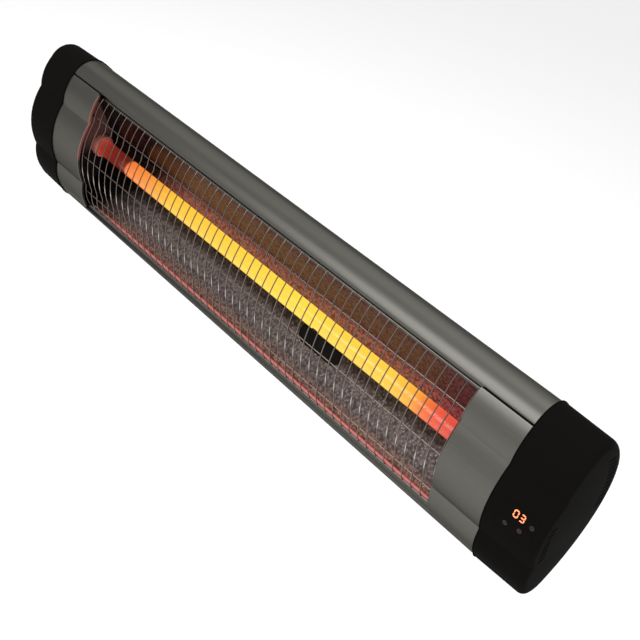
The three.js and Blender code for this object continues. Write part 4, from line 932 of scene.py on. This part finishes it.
@dataclass(frozen=True)
class Housing:
    """The aluminium extrusion with its lip, groove and bracket channel."""

    half: float = 358.0
    wall: float = 2.0
    groove_width: float = 1.6
    lip_face: float = 16.0
    lip_thickness: float = 2.0
    lip_edge: float = 69.0
    land_half: float = 14.0
    mouth_half: float = 4.3
    channel_lip: float = 2.5
    channel_half: float = 8.2
    channel_depth: float = 6.2
    edge_round: float = 0.4
    lip_drop: float = 1.5
    steps: int = 24

    def half_outline(self) -> tuple[list[Point], list[Point]]:
        """Returns the upper half's outer and inner line, both from the lip to the back."""
        shoulder, rear = SECTION.shoulder, SECTION.rear
        start = shoulder.at(shoulder.angle(SECTION.groove) - self.groove_width / 2 / shoulder.radius)
        back = SECTION.rear_depth
        floor = back - self.channel_lip - self.channel_depth
        outer = [
            (self.lip_face, self.lip_edge),
            (self.lip_face, start[1] - self.lip_drop),
            *shoulder.walk(start, shoulder.at(SECTION.blend), self.steps),
            *rear.walk(rear.at(SECTION.blend), rear.at_height(self.land_half, 1), self.steps)[1:],
            (back, self.land_half),
            (back, self.mouth_half),
            (back - self.channel_lip, self.mouth_half),
            (back - self.channel_lip, self.channel_half),
            (floor, self.channel_half),
        ]
        inside, behind = shoulder.grown(-self.wall), rear.grown(-self.wall)
        lip_back = self.lip_face + self.lip_thickness
        box = self.channel_half + self.wall
        inner = [
            (lip_back, self.lip_edge),
            *inside.walk(inside.at_depth(lip_back), inside.at(SECTION.blend), self.steps),
            *behind.walk(behind.at(SECTION.blend), behind.at_height(box, 1), self.steps)[1:],
            (floor - self.wall, box),
        ]
        return outer, inner

    def build(self, palette: Palette) -> None:
        """Makes the extrusion."""
        outer, inner = self.half_outline()
        outline = outer + mirrored(outer) + mirrored(inner[::-1]) + inner[::-1]
        loop = in_heater(soften(outline, self.edge_round, 25.0))
        made = Skin().prism(Push.X, [loop], -self.half, self.half).object("housing", palette["extrusion"])
        fitted(made, Body.HEATER, "anodised_aluminium", "housing_shell")


@dataclass(frozen=True)
class FrontPanels:
    """The two sheet panels at the ends of the opening, each with a rolled hem towards the grille."""

    opening_half: float = 300.0
    end: float = 358.0
    sheet: float = 1.5
    hem: float = 2.0
    roll: float = 0.7
    crease_round: float = 1.4
    flange_depth: float = 15.7
    flange_drop: float = 1.5
    short_of_groove: float = 0.8
    edge_round: float = 0.5
    strip: float = 2.2
    strip_round: float = 0.4

    def body(self) -> Skin:
        """Makes the sheet with its two flanges."""
        side = SECTION.side
        edge = side.at(side.angle(SECTION.groove) + self.short_of_groove / side.radius)
        bend = (edge[0] + self.sheet, edge[1] - self.sheet)
        foot = (self.flange_depth, edge[1] - self.flange_drop)
        inner = (foot[0], foot[1] - self.sheet)
        face = SECTION.lobes(0.0, self.crease_round, edge, foot)
        back = SECTION.lobes(-self.sheet, self.crease_round, bend, inner)
        outline = soften(face + back[::-1], self.edge_round, 25.0)
        return Skin().prism(Push.X, [in_heater(outline)], self.opening_half + self.roll, self.end)

    def rolled_edge(self, skin: Skin) -> None:
        """Adds the hem: a rolled strip along the opening's edge, over the three lobes."""
        deep = -self.sheet - self.hem
        near, far, ease = self.opening_half, self.opening_half + self.strip, self.strip_round
        run = [(far, -0.02)]
        for turn in (0.0, 0.5, 1.0, 1.57):
            run.append((near + self.roll * (1 - math.sin(turn)), self.roll * (math.cos(turn) - 1)))
        run += [(near, deep + ease), (near + ease, deep), (near + self.sheet, deep)]
        run += [(near + self.sheet, -self.sheet), (far, -self.sheet)]
        lines = [SECTION.lobes(offset, self.crease_round) for _, offset in run]
        rings = []
        for i in range(len(lines[0])):
            rings.append([(x_at, *in_heater([line[i]])[0]) for (x_at, _), line in zip(run, lines)])
        skin.loft(rings)

    def build(self, palette: Palette) -> None:
        """Makes both panels."""
        for word, sign in SIDES:
            skin = self.body()
            self.rolled_edge(skin)
            if sign < 0:
                skin.mirror_x()
            made = skin.object(f"panel_{word}", palette["panel"])
            fitted(made, Body.HEATER, "anodised_aluminium", f"front_panel_{word}")


@dataclass(frozen=True)
class Grille:
    """The welded wire grille: bent wires set out by a node tree, and long wires behind them."""

    wire: float = 1.3
    pitch: float = 12.4
    count: int = 49
    crease: Point = (5.2, 42.5)
    nose: float = -5.0
    edge: Point = (15.05, 72.25)
    side_bulge: float = 2.4
    crease_round: float = 2.5
    half_length: float = 309.0
    weld: float = 0.5

    @property
    def middle(self) -> Arc:
        """Middle line of the wire over the middle lobe."""
        low = (self.crease[0], -self.crease[1])
        return Arc.over_chord(low, self.crease, self.crease[0] - self.nose)

    @property
    def side(self) -> Arc:
        """Middle line of the wire over the upper side lobe."""
        return Arc.over_chord(self.crease, self.edge, self.side_bulge)

    def bent_wire(self, palette: Palette) -> bpy.types.Object:
        """Makes one bent wire at x = 0."""
        lower = self.middle.walk(self.middle.at(math.pi), self.crease, 16)
        upper = self.side.walk(self.crease, self.edge, 10)
        half = lower[:-1] + eased(self.crease, lower[-2], upper[1], self.crease_round, 5) + upper[1:]
        path = [Vector((0.0, y, z)) for y, z in in_heater(mirrored(half[1:]) + half)]
        return Skin().tube(path, self.wire / 2, 10).object("bent_wire", palette["wire"])

    def row_tree(self) -> bpy.types.NodeTree:
        """Builds the node tree that sets one wire out along X.

        Returns:
            A geometry node tree with the inputs Wire, Count, Pitch and Finish.
        """
        tree = bpy.data.node_groups.new("wire_row", "GeometryNodeTree")
        face = tree.interface
        face.new_socket("Geometry", in_out="OUTPUT", socket_type="NodeSocketGeometry")
        face.new_socket("Geometry", in_out="INPUT", socket_type="NodeSocketGeometry")
        for name, kind in (("Wire", "Object"), ("Count", "Int"), ("Pitch", "Float"), ("Finish", "Material")):
            face.new_socket(name, in_out="INPUT", socket_type=f"NodeSocket{kind}")
        new = partial(add_node, tree)
        entry = tree.nodes.new("NodeGroupInput").outputs
        steps = new("ShaderNodeMath", {0: entry["Count"], 1: -0.5, 2: 0.5}, operation="MULTIPLY_ADD")
        start = new("ShaderNodeMath", {0: steps, 1: entry["Pitch"]}, operation="MULTIPLY")
        places = {
            "Count": entry["Count"],
            "Start Location": new("ShaderNodeCombineXYZ", {"X": start}),
            "Offset": new("ShaderNodeCombineXYZ", {"X": entry["Pitch"]}),
        }
        points = new("GeometryNodeMeshLine", places, mode="OFFSET")
        wire = new("GeometryNodeObjectInfo", {"Object": entry["Wire"]}, "Geometry")
        wires = new("GeometryNodeInstanceOnPoints", {"Points": points, "Instance": wire})
        both = new("GeometryNodeJoinGeometry", {0: entry["Geometry"]})
        tree.links.new(wires, both.node.inputs[0])
        solid = new("GeometryNodeRealizeInstances", {0: both})
        new("NodeGroupOutput", {0: new("GeometryNodeSetMaterial", {0: solid, "Material": entry["Finish"]})})
        return tree

    def build(self, palette: Palette) -> None:
        """Makes the whole grille as one mesh."""
        behind = self.wire - self.weld
        seat = self.side.walk(self.crease, self.edge, 4)[1]
        lean = math.pi - self.side.angle(seat)
        spots = [(self.nose + behind, 0.0)]
        for way in (-1, 1):
            spots.append((seat[0] + behind * math.cos(lean), way * (seat[1] - behind * math.sin(lean))))
            spots.append((self.edge[0], way * self.edge[1]))
        long = Skin()
        for y, z in in_heater(spots):
            path = [Vector((x, y, z)) for x in (-self.half_length, 0.0, self.half_length)]
            long.tube(path, self.wire / 2, 10)
        grille = long.object("grille", palette["wire"])
        source = self.bent_wire(palette)
        row = grille.modifiers.new("row", "NODES")
        row.node_group = self.row_tree()
        values = {"Wire": source, "Count": self.count, "Pitch": self.pitch * MM, "Finish": palette["wire"]}
        for item in row.node_group.interface.items_tree:
            if item.in_out == "INPUT" and item.name in values:
                row[item.identifier] = values[item.name]
        applied(grille)
        bpy.data.objects.remove(source)
        shaded(grille)
        fitted(grille, Body.HEATER, "steel_wire", "wire_grille")


@dataclass(frozen=True)
class Reflector:
    """The bent, hammered reflector with the oval opening for the tube's steady."""

    sheet: float = 1.0
    half: float = 318.0
    flat_back: Point = (50.5, 12.0)
    slope_start: Point = (18.8, 68.0)
    edge_height: float = 75.0
    bend_round: float = 3.0
    oval_x: float = 98.0
    oval_from_bend: float = 18.0
    oval: Point = (64.0, 24.0)
    oval_reach: float = 3.0

    def build(self, palette: Palette) -> None:
        """Makes the reflector."""
        edge = (self.slope_start[0], self.edge_height)
        start, back = self.slope_start, self.flat_back
        upper = eased(start, edge, back, self.bend_round, 5)
        half = [edge, *upper, *eased(back, start, (back[0], 0.0), self.bend_round, 5)]
        outline = in_heater(ribbon(half + mirrored(half), self.sheet))
        skin = Skin().prism(Push.X, [outline], -self.half, self.half)
        sheet = skin.object("reflector", palette["reflector"])
        along = Vector((back[0] - start[0], start[1] - back[1])).normalized()
        middle = Vector((back[0], -back[1])) - along * self.oval_from_bend
        tool = Skin()
        rings = []
        for depth in (-self.oval_reach, self.oval_reach):
            ring = []
            for u, v in slot_outline(self.oval_x, 0.0, *self.oval, steps=16):
                spot = middle + along * v + Vector((along.y, -along.x)) * depth
                ring.append((u, HEATER_Y + spot.x, spot.y))
            rings.append(ring)
        carved(sheet, tool.loft(rings).object("oval", palette["reflector"]))
        fitted(sheet, Body.HEATER, "hammered_aluminium", "reflector")


@dataclass(frozen=True)
class Lamp:
    """The quartz tube, its wound filament and the ceramic ends."""

    depth: float = 34.0
    radius: float = 10.0
    wall: float = 1.4
    half: float = 338.0
    glow_half: float = 250.0
    coil_radius: float = 7.2
    coil_wire: float = 0.7
    coil_pitch: float = 4.0
    cone: float = 9.0
    pin: float = 1.5
    pin_end: float = 346.0
    holder_radius: float = 14.0
    holder_face: float = 309.0
    holder_back: float = 318.0
    neck: float = 12.6
    tail: float = 343.3

    def on_axis(self, a: float, b: float, run: float) -> Corner:
        """Places a point by its offsets across the tube's axis and its run along it."""
        return (run, HEATER_Y + self.depth + a, b)

    def tube(self, palette: Palette) -> None:
        """Makes the quartz tube."""
        inner, ease = self.radius - self.wall, 0.3
        half = [
            (inner, self.half - ease),
            (inner + ease, self.half),
            (self.radius - ease, self.half),
            (self.radius, self.half - ease),
        ]
        profile = half + [(r, -x) for r, x in reversed(half)]
        made = Skin().turned(profile, self.on_axis, 48).object("quartz", palette["quartz"])
        fitted(made, Body.HEATER, "quartz", "quartz_tube")

    def filament(self, palette: Palette) -> None:
        """Makes the wound filament with a contact pin at each end."""
        turns = round(2 * self.glow_half / self.coil_pitch)
        per_turn = 12
        path = []
        for i in range(turns * per_turn + 1):
            angle = 2 * math.pi * i / per_turn
            across = (self.coil_radius * math.cos(angle), self.coil_radius * math.sin(angle))
            path.append(Vector(self.on_axis(*across, -self.glow_half + self.coil_pitch * i / per_turn)))
        skin = Skin().tube(path, self.coil_wire, 5)
        near, core = self.glow_half - 1.0, 0.01
        cone = [(core, near), (self.coil_radius, near), (self.pin, near + self.cone)]
        cone += [(self.pin, self.pin_end), (core, self.pin_end)]
        for sign in (-1, 1):
            skin.turned([(r, sign * x) for r, x in cone], self.on_axis, 16)
        fitted(skin.object("filament", palette["filament"]), Body.HEATER, "filament", "heating_element")

    def holders(self, palette: Palette) -> None:
        """Makes the ceramic ends."""
        bore = self.radius + 0.35
        stop = self.half + 0.3
        profile = [
            (bore, self.holder_face + 0.6),
            (bore + 0.6, self.holder_face),
            *[(self.holder_radius - 2 + r, self.holder_face + 2 - x) for r, x in sweep(0, 0, 2, 90, 0, 5)],
            (self.holder_radius, self.holder_back - 0.5),
            (self.holder_radius - 0.5, self.holder_back),
            (self.neck, self.holder_back),
            (self.neck, self.tail),
            (self.pin + 0.35, self.tail),
            (self.pin + 0.35, stop),
            (bore, stop),
        ]
        for word, sign in SIDES:
            skin = Skin().turned([(r, sign * x) for r, x in profile], self.on_axis, 40)
            made = skin.object(f"ceramic_{word}", palette["ceramic"])
            fitted(made, Body.HEATER, "ceramic", f"ceramic_end_{word}")

    def build(self, palette: Palette) -> None:
        """Makes the lamp."""
        self.tube(palette)
        self.filament(palette)
        self.holders(palette)


@dataclass(frozen=True)
class EndCaps:
    """The moulded caps, with vents in the end face and, on the right, the display."""

    start: float = 358.3
    length: float = 58.0
    wall: float = 3.0
    proud: float = 1.5
    draft: float = 2.0
    round: float = 7.0
    crease_round: float = 3.0
    rim_round: float = 0.7
    vent_width: float = 2.4
    vent_length: float = 12.0
    vent_pitch: float = 6.0
    vent_edge: float = 3.0
    rear_vents: tuple[float, int] = (0.0, 12)
    front_vents: tuple[float, int] = (8.0, 8)
    window_middle: float = 31.0
    window_height: float = 2.0
    window: Point = (38.0, 32.0)
    window_round: float = 2.0
    window_run: Point = (-6.0, 9.0)
    seam: float = 0.12
    gland_x: float = 22.0
    gland_height: float = -42.0
    gland_stand: float = 5.0
    boss_radius: float = 15.0
    boss_thick: float = 16.0
    boss_edge: Point = (1.2, 0.4)
    bore_run: Point = (60.0, 120.0)
    gland_radius: float = 8.3

    @property
    def end(self) -> float:
        """X of the end face."""
        return self.start + self.length

    @property
    def gland_seat(self) -> float:
        """Depth of the face that the gland sits on."""
        return SECTION.rear.grown(self.proud).at_height(self.gland_height, 1)[0] + self.gland_stand

    def ring(self, x: float, offset: float) -> list[Corner]:
        """Returns the section's outline at one x."""
        radius = min(self.crease_round, 2.0 + offset / 4) if offset < 0 else self.crease_round
        return [(x, y, z) for y, z in in_heater(SECTION.outline(offset, max(radius, 0.4)))]

    def shell(self, palette: Palette) -> bpy.types.Object:
        """Makes the hollow cap without its cuts."""
        rim, inner_round = self.rim_round, self.round - self.wall
        quarter = [math.radians(15.0 * i) for i in range(7)]
        rings = [
            self.ring(self.start + rim * (1 - math.sin(a)), self.proud - rim * (1 - math.cos(a)))
            for a in quarter[::2]
        ]
        for a in quarter:
            inset = self.draft + self.round * (1 - math.cos(a))
            rings.append(self.ring(self.end - self.round * (1 - math.sin(a)), self.proud - inset))
        hollow = []
        for a in reversed(quarter):
            inset = self.wall + self.draft + inner_round * (1 - math.cos(a))
            x = self.end - self.wall - inner_round * (1 - math.sin(a))
            hollow.append(self.ring(x, self.proud - inset))
        hollow.append(self.ring(self.start, self.proud - self.wall))
        outside = Skin().loft(rings[::-1] + [hollow[-1]], capped=False)
        for ring in (rings[-1], hollow[0]):
            outside.add(ring, tessellate_polygon([[Vector((y, z, 0.0)) for _, y, z in ring]]))
        outside.loft(hollow, capped=False)
        return outside.object("end_cap", palette["black"])

    def vents(self, palette: Palette) -> bpy.types.Object:
        """Makes one cutter for both rows of vents, each along one side of the end face."""
        skin = Skin()
        inset = self.proud - self.draft - self.round
        inward = self.vent_edge + self.vent_length / 2
        rows = ((SECTION.rear, 1, self.rear_vents), (SECTION.middle, -1, self.front_vents))
        for line, side, (first, count) in rows:
            for i in range(count):
                height = first + side * i * self.vent_pitch
                depth = line.grown(inset).at_height(height, side)[0] - side * inward
                loop = slot_outline(HEATER_Y + depth, height, self.vent_length, self.vent_width, 5)
                skin.prism(Push.X, [loop], self.end - 2.5 * self.wall, self.end + self.wall)
        return skin.object("vents", palette["black"])

    def window_box(self, palette: Palette, margin: float, name: str) -> bpy.types.Object:
        """Makes the box that cuts the window out of the cap's front."""
        middle = self.start + self.window_middle
        wide, tall = self.window[0] / 2 - margin, self.window[1] / 2 - margin
        corners = [(middle + a * wide, self.window_height + b * tall) for a, b in SQUARE]
        front = HEATER_Y - SECTION.middle_bulge
        run = (front + reach for reach in self.window_run)
        skin = Skin().prism(Push.Y, [soften(corners, self.window_round, 20.0, 5)], *run)
        return skin.object(name, palette["smoked"])

    def build(self, palette: Palette) -> None:
        """Makes both caps, the window and the gland's boss."""
        for word, sign in SIDES:
            cap = carved(self.shell(palette), self.vents(palette))
            if sign > 0:
                self.cut_window(cap, palette)
                self.add_boss(cap)
            else:
                cap.data.transform(Matrix.Scale(-1, 4, Vector((1, 0, 0))))
                cap.data.flip_normals()
            cap.name = f"cap_{word}"
            fitted(cap, Body.HEATER, "black_plastic", f"end_cap_{word}")

    def cut_window(self, cap: bpy.types.Object, palette: Palette) -> None:
        """Cuts the window out of the cap and keeps the piece as the window."""
        window = placed("window", cap.data.copy())
        carved(window, self.window_box(palette, self.seam, "window_inside"), "INTERSECT")
        window.data.materials.clear()
        window.data.materials.append(palette["smoked"])
        fitted(window, Body.HEATER, "smoked_plastic", "display_window")
        carved(cap, self.window_box(palette, 0.0, "window_hole"))

    def add_boss(self, cap: bpy.types.Object) -> None:
        """Adds the boss that the cable gland sits in."""
        low, high = self.gland_seat - self.boss_thick, self.gland_seat
        wide, slight = self.boss_edge
        profile = [
            (self.gland_radius, low),
            (self.gland_radius, high),
            (self.boss_radius - wide, high),
            (self.boss_radius - slight, high - slight),
            (self.boss_radius, high - wide),
            (self.boss_radius, low),
        ]

        def place(a: float, b: float, run: float) -> Corner:
            """Places a point by its offsets across the gland's axis and its run along it."""
            return (self.start + self.gland_x + a, HEATER_Y + run, self.gland_height + b)

        bore = Skin()
        loop = [place(a, b, 0) for a, b in circle(0, 0, self.boss_radius - 1.0, 32)]
        bore.prism(Push.Y, [[(x, z) for x, _, z in loop]], *(HEATER_Y + run for run in self.bore_run))
        carved(cap, bore.object("boss_bore", cap.data.materials[0]))
        boss = Skin().turned(profile, place, 40).object("boss", cap.data.materials[0])
        with edited(cap.data) as work:
            work.from_mesh(boss.data)
        bpy.data.objects.remove(boss)
        shaded(cap)


class Segment(Enum):
    """Segments of a seven-segment digit: centre (x, z) in half digits, and whether it lies flat."""

    TOP = (0.0, 1.0, True)
    TOP_RIGHT = (1.0, 0.5, False)
    LOW_RIGHT = (1.0, -0.5, False)
    BOTTOM = (0.0, -1.0, True)
    LOW_LEFT = (-1.0, -0.5, False)
    TOP_LEFT = (-1.0, 0.5, False)
    MIDDLE = (0.0, 0.0, True)


DIGITS = {
    "0": tuple(s for s in Segment if s is not Segment.MIDDLE),
    "3": (Segment.TOP, Segment.TOP_RIGHT, Segment.LOW_RIGHT, Segment.BOTTOM, Segment.MIDDLE),
}


@dataclass(frozen=True)
class Readout:
    """The lit digits and the touch marks that show through the window."""

    text: str = "03"
    middle_x: float = 389.6
    height: float = 9.4
    digit: Point = (4.0, 6.8)
    pitch: float = 6.7
    stroke: float = 1.05
    proud: float = 0.1
    sunk: float = 0.3
    marks: tuple[tuple[float, float, str], ...] = (
        (-8.7, -15.3, "mark_grey"),
        (5.6, -12.7, "mark_red"),
        (14.1, -1.8, "mark_green"),
    )
    mark_radius: float = 2.2
    mark_line: float = 0.7
    cap: EndCaps = EndCaps()

    def face(self, x: float, height: float) -> float:
        """Returns the y of the cap's drafted front at one place."""
        cap = self.cap
        offset = cap.proud - cap.draft * (x - cap.start) / (cap.length - cap.round)
        return HEATER_Y + SECTION.middle.grown(offset).at_height(height, -1)[0]

    def tile(self, skin: Skin, loop: Sequence[Point]) -> None:
        """Adds one thin tile that follows the cap's front."""
        skin.loft([[(x, self.face(x, z) - out, z) for x, z in loop] for out in (-self.sunk, self.proud)])

    def digits(self, palette: Palette) -> None:
        """Makes the lit segments of all digits."""
        skin = Skin()
        wide, tall = (side / 2 for side in self.digit)
        thin = self.stroke / 2
        for place, letter in enumerate(self.text):
            x = self.middle_x + (place - (len(self.text) - 1) / 2) * self.pitch
            for segment in DIGITS[letter]:
                across, up, lies = segment.value
                long = (wide if lies else tall / 2) - thin * 0.7
                half = (long, thin) if lies else (thin, long)
                u, v = x + across * wide, self.height + up * tall
                corners = [(u + a * half[0], v + b * half[1]) for a, b in SQUARE]
                self.tile(skin, soften(corners, 0.5, 20.0, 2))
        fitted(skin.object("digits", palette["digits"]), Body.HEATER, "readout")

    def touch_marks(self, palette: Palette) -> None:
        """Makes the three faint touch marks, each a ring round a dot."""
        for x, z, name in self.marks:
            skin = Skin()
            spot = (self.middle_x + x, self.height + z)
            outer = circle(*spot, self.mark_radius, 24)
            inner = circle(*spot, self.mark_radius - self.mark_line, 24)
            for i in range(24):
                self.tile(skin, [outer[i - 1], outer[i], inner[i], inner[i - 1]])
            self.tile(skin, circle(*spot, self.mark_line, 16))
            fitted(skin.object(name, palette[name]), Body.HEATER, "readout")

    def build(self, palette: Palette) -> None:
        """Makes the readout."""
        self.digits(palette)
        self.touch_marks(palette)


@dataclass(frozen=True)
class SoftEdges:
    """Bent, cut and moulded small pieces: copies of their solids with every sharp edge softened."""

    kinds: tuple[tuple[str, Body, str, str, float], ...] = (
        ("tilt_arm_{}", Body.HEATER, "coated", "black_steel", 0.45),
        ("wall_bracket_{}", Body.BRACKETS, "coated", "black_steel", 0.45),
        ("slide_nut_{}", Body.HEATER, "zinc", "zinc_steel", 0.3),
        ("arm_bolt_{}_1", Body.HEATER, "zinc", "zinc_steel", 0.35),
        ("arm_bolt_{}_2", Body.HEATER, "zinc", "zinc_steel", 0.35),
        ("pivot_bolt_{}", Body.BRACKETS, "zinc", "zinc_steel", 0.35),
        ("pivot_nut_{}", Body.BRACKETS, "zinc", "zinc_steel", 0.35),
        ("lock_bolt_{}", Body.BRACKETS, "zinc", "zinc_steel", 0.35),
        ("lock_knob_{}", Body.BRACKETS, "black", "black_plastic", 1.2),
    )
    merge_mm: float = 0.001
    flat_degrees: float = 1.0
    sharp_degrees: float = 50.0
    segments: int = 3

    def soften(self, node: str, material: bpy.types.Material, width: float) -> bpy.types.Object:
        """Copies a node's mesh and rounds its sharp edges.

        Args:
            node: Name of the CAD node.
            material: Material of the copy.
            width: Width of the rounding.

        Returns:
            The new object.
        """
        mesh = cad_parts[node].data.copy()
        with edited(mesh) as work:
            bmesh.ops.remove_doubles(work, verts=work.verts, dist=self.merge_mm * MM)
            bmesh.ops.dissolve_limit(
                work, angle_limit=math.radians(self.flat_degrees), verts=work.verts, edges=work.edges
            )
        mesh.materials.clear()
        mesh.materials.append(material)
        made = placed(f"{node}_soft", mesh)
        shaded(made)
        rounding = made.modifiers.new("rounding", "BEVEL")
        rounding.width = width * MM
        rounding.segments = self.segments
        rounding.limit_method = "ANGLE"
        rounding.angle_limit = math.radians(self.sharp_degrees)
        rounding.harden_normals = True
        return applied(made)

    def build(self, palette: Palette) -> None:
        """Makes a softened copy of each piece on both sides."""
        for pattern, body, finish, slot, width in self.kinds:
            for word, _ in SIDES:
                node = pattern.format(word)
                made = self.soften(node, palette[finish], width)
                fitted(made, body, slot, node)


class Leftover:
    """CAD nodes that stay as they are and only get a material."""

    FINISHES = {
        "black": ("cable_gland", "gland_nut", "gland_locknut", "thermal_cutout"),
        "shade": ("steady_plate",),
        # The end plates get the tube's glow painted on their upper half.
        "painted_glow_plate": ("chamber_end_plate_left", "chamber_end_plate_right"),
        "spring": ("tube_steady", "tube_clip_left", "tube_clip_right"),
        "board": ("display_board", "control_board"),
        "anodised": ("heat_sink",),
        "relay": ("relay",),
        "white": ("terminal_block", "display_module"),
        "lead": ("lead_left", "lead_right", "cutout_lead"),
    }

    def build(self, palette: Palette) -> None:
        """Gives each node its material."""
        for finish, names in self.FINISHES.items():
            for name in names:
                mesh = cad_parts[name].data
                mesh.materials.clear()
                mesh.materials.append(palette[finish])
        LOG.info("materials set on %d CAD nodes", sum(len(names) for names in self.FINISHES.values()))


# ----------------------------------------------------------------------------------------------------------
# Studio
# ----------------------------------------------------------------------------------------------------------


@dataclass(frozen=True)
class Light:
    """One soft area light, aimed at the heater, with its place in metres."""

    name: str
    place: Corner
    size: float
    power: float
    target: Corner = (0.0, -0.12, 0.0)

    def build(self) -> None:
        """Makes the light."""
        data = bpy.data.lights.new(self.name, "AREA")
        data.shape = "DISK"
        data.size = self.size
        data.energy = self.power
        lamp = placed(self.name, data)
        lamp.location = self.place
        aim = Vector(self.target) - Vector(self.place)
        lamp.rotation_euler = aim.to_track_quat("-Z", "Y").to_euler()


@dataclass(frozen=True)
class Studio:
    """Camera, lights, floor and surroundings."""

    lens: float = 54.05
    place: Corner = (0.6015, -0.7999, 0.5432)
    right: Corner = (0.66745, 0.70535, 0.23872)
    up: Corner = (-0.54211, 0.24049, 0.80516)
    ahead: Corner = (-0.51051, 0.66681, -0.54290)
    floor_z: float = -0.75
    floor_half: float = 14.0
    floor_code: str = "fcfcfc"
    sky: Stops = ((0.1, "b0b0b0"), (0.42, "ffffff"))
    lights: tuple[Light, ...] = (
        Light("key", (-0.6, -2.0, 1.85), 1.85, 24.5),
        Light("top", (0.6, 0.4, 2.4), 2.4, 14.0),
        Light("rim", (-1.7, 0.9, 1.9), 2.8, 10.0),
    )

    def camera(self) -> None:
        """Makes the camera at the photograph's place."""
        data = bpy.data.cameras.new("camera")
        data.lens = self.lens
        data.clip_end = 100.0
        camera = placed("camera", data)
        back = tuple(-c for c in self.ahead)
        turn = Matrix((self.right, self.up, back)).transposed()
        camera.matrix_world = Matrix.Translation(self.place) @ turn.to_4x4()
        bpy.context.scene.camera = camera

    def floor(self) -> None:
        """Makes the pale floor."""
        half = self.floor_half / MM
        height = self.floor_z / MM
        skin = Skin().add([(x * half, y * half, height) for x, y in SQUARE], [(0, 1, 2, 3)])
        shader = Shader("pale_floor")
        shader.set(Base_Color=linear(self.floor_code), Roughness=0.9)
        skin.object("floor", shader.material)

    def surroundings(self) -> None:
        """Makes a soft sky that is darker towards the left, as beside a studio's grey screen."""
        world = bpy.data.worlds.new("studio")
        bpy.context.scene.world = world
        world.use_nodes = True
        new = partial(add_node, world.node_tree)
        across = new("ShaderNodeSeparateXYZ", {0: new("ShaderNodeTexCoord", output="Generated")}, "X")
        reach = new("ShaderNodeMapRange", {0: across, "From Min": -1.0})
        sky = new("ShaderNodeValToRGB", {0: reach}, stops=self.sky)
        world.node_tree.links.new(sky, world.node_tree.nodes["Background"].inputs["Color"])

    def build(self) -> None:
        """Makes the studio, camera first."""
        self.camera()
        self.floor()
        self.surroundings()
        for light in self.lights:
            light.build()
        bpy.context.scene.view_settings.view_transform = "Standard"


def main() -> None:
    """Builds the studio and every sub-assembly, in order."""
    logging.basicConfig(level=logging.INFO, format="%(name)s: %(message)s")
    Studio().build()
    palette = {name: finish.material() for name, finish in FINISHES.items()}
    pieces = (
        Housing(),
        FrontPanels(),
        Grille(),
        Reflector(),
        Lamp(),
        EndCaps(),
        Readout(),
        SoftEdges(),
        Leftover(),
    )
    for piece in pieces:
        LOG.info("building %s", type(piece).__name__)
        piece.build(palette)


if __name__ == "__main__":
    main()
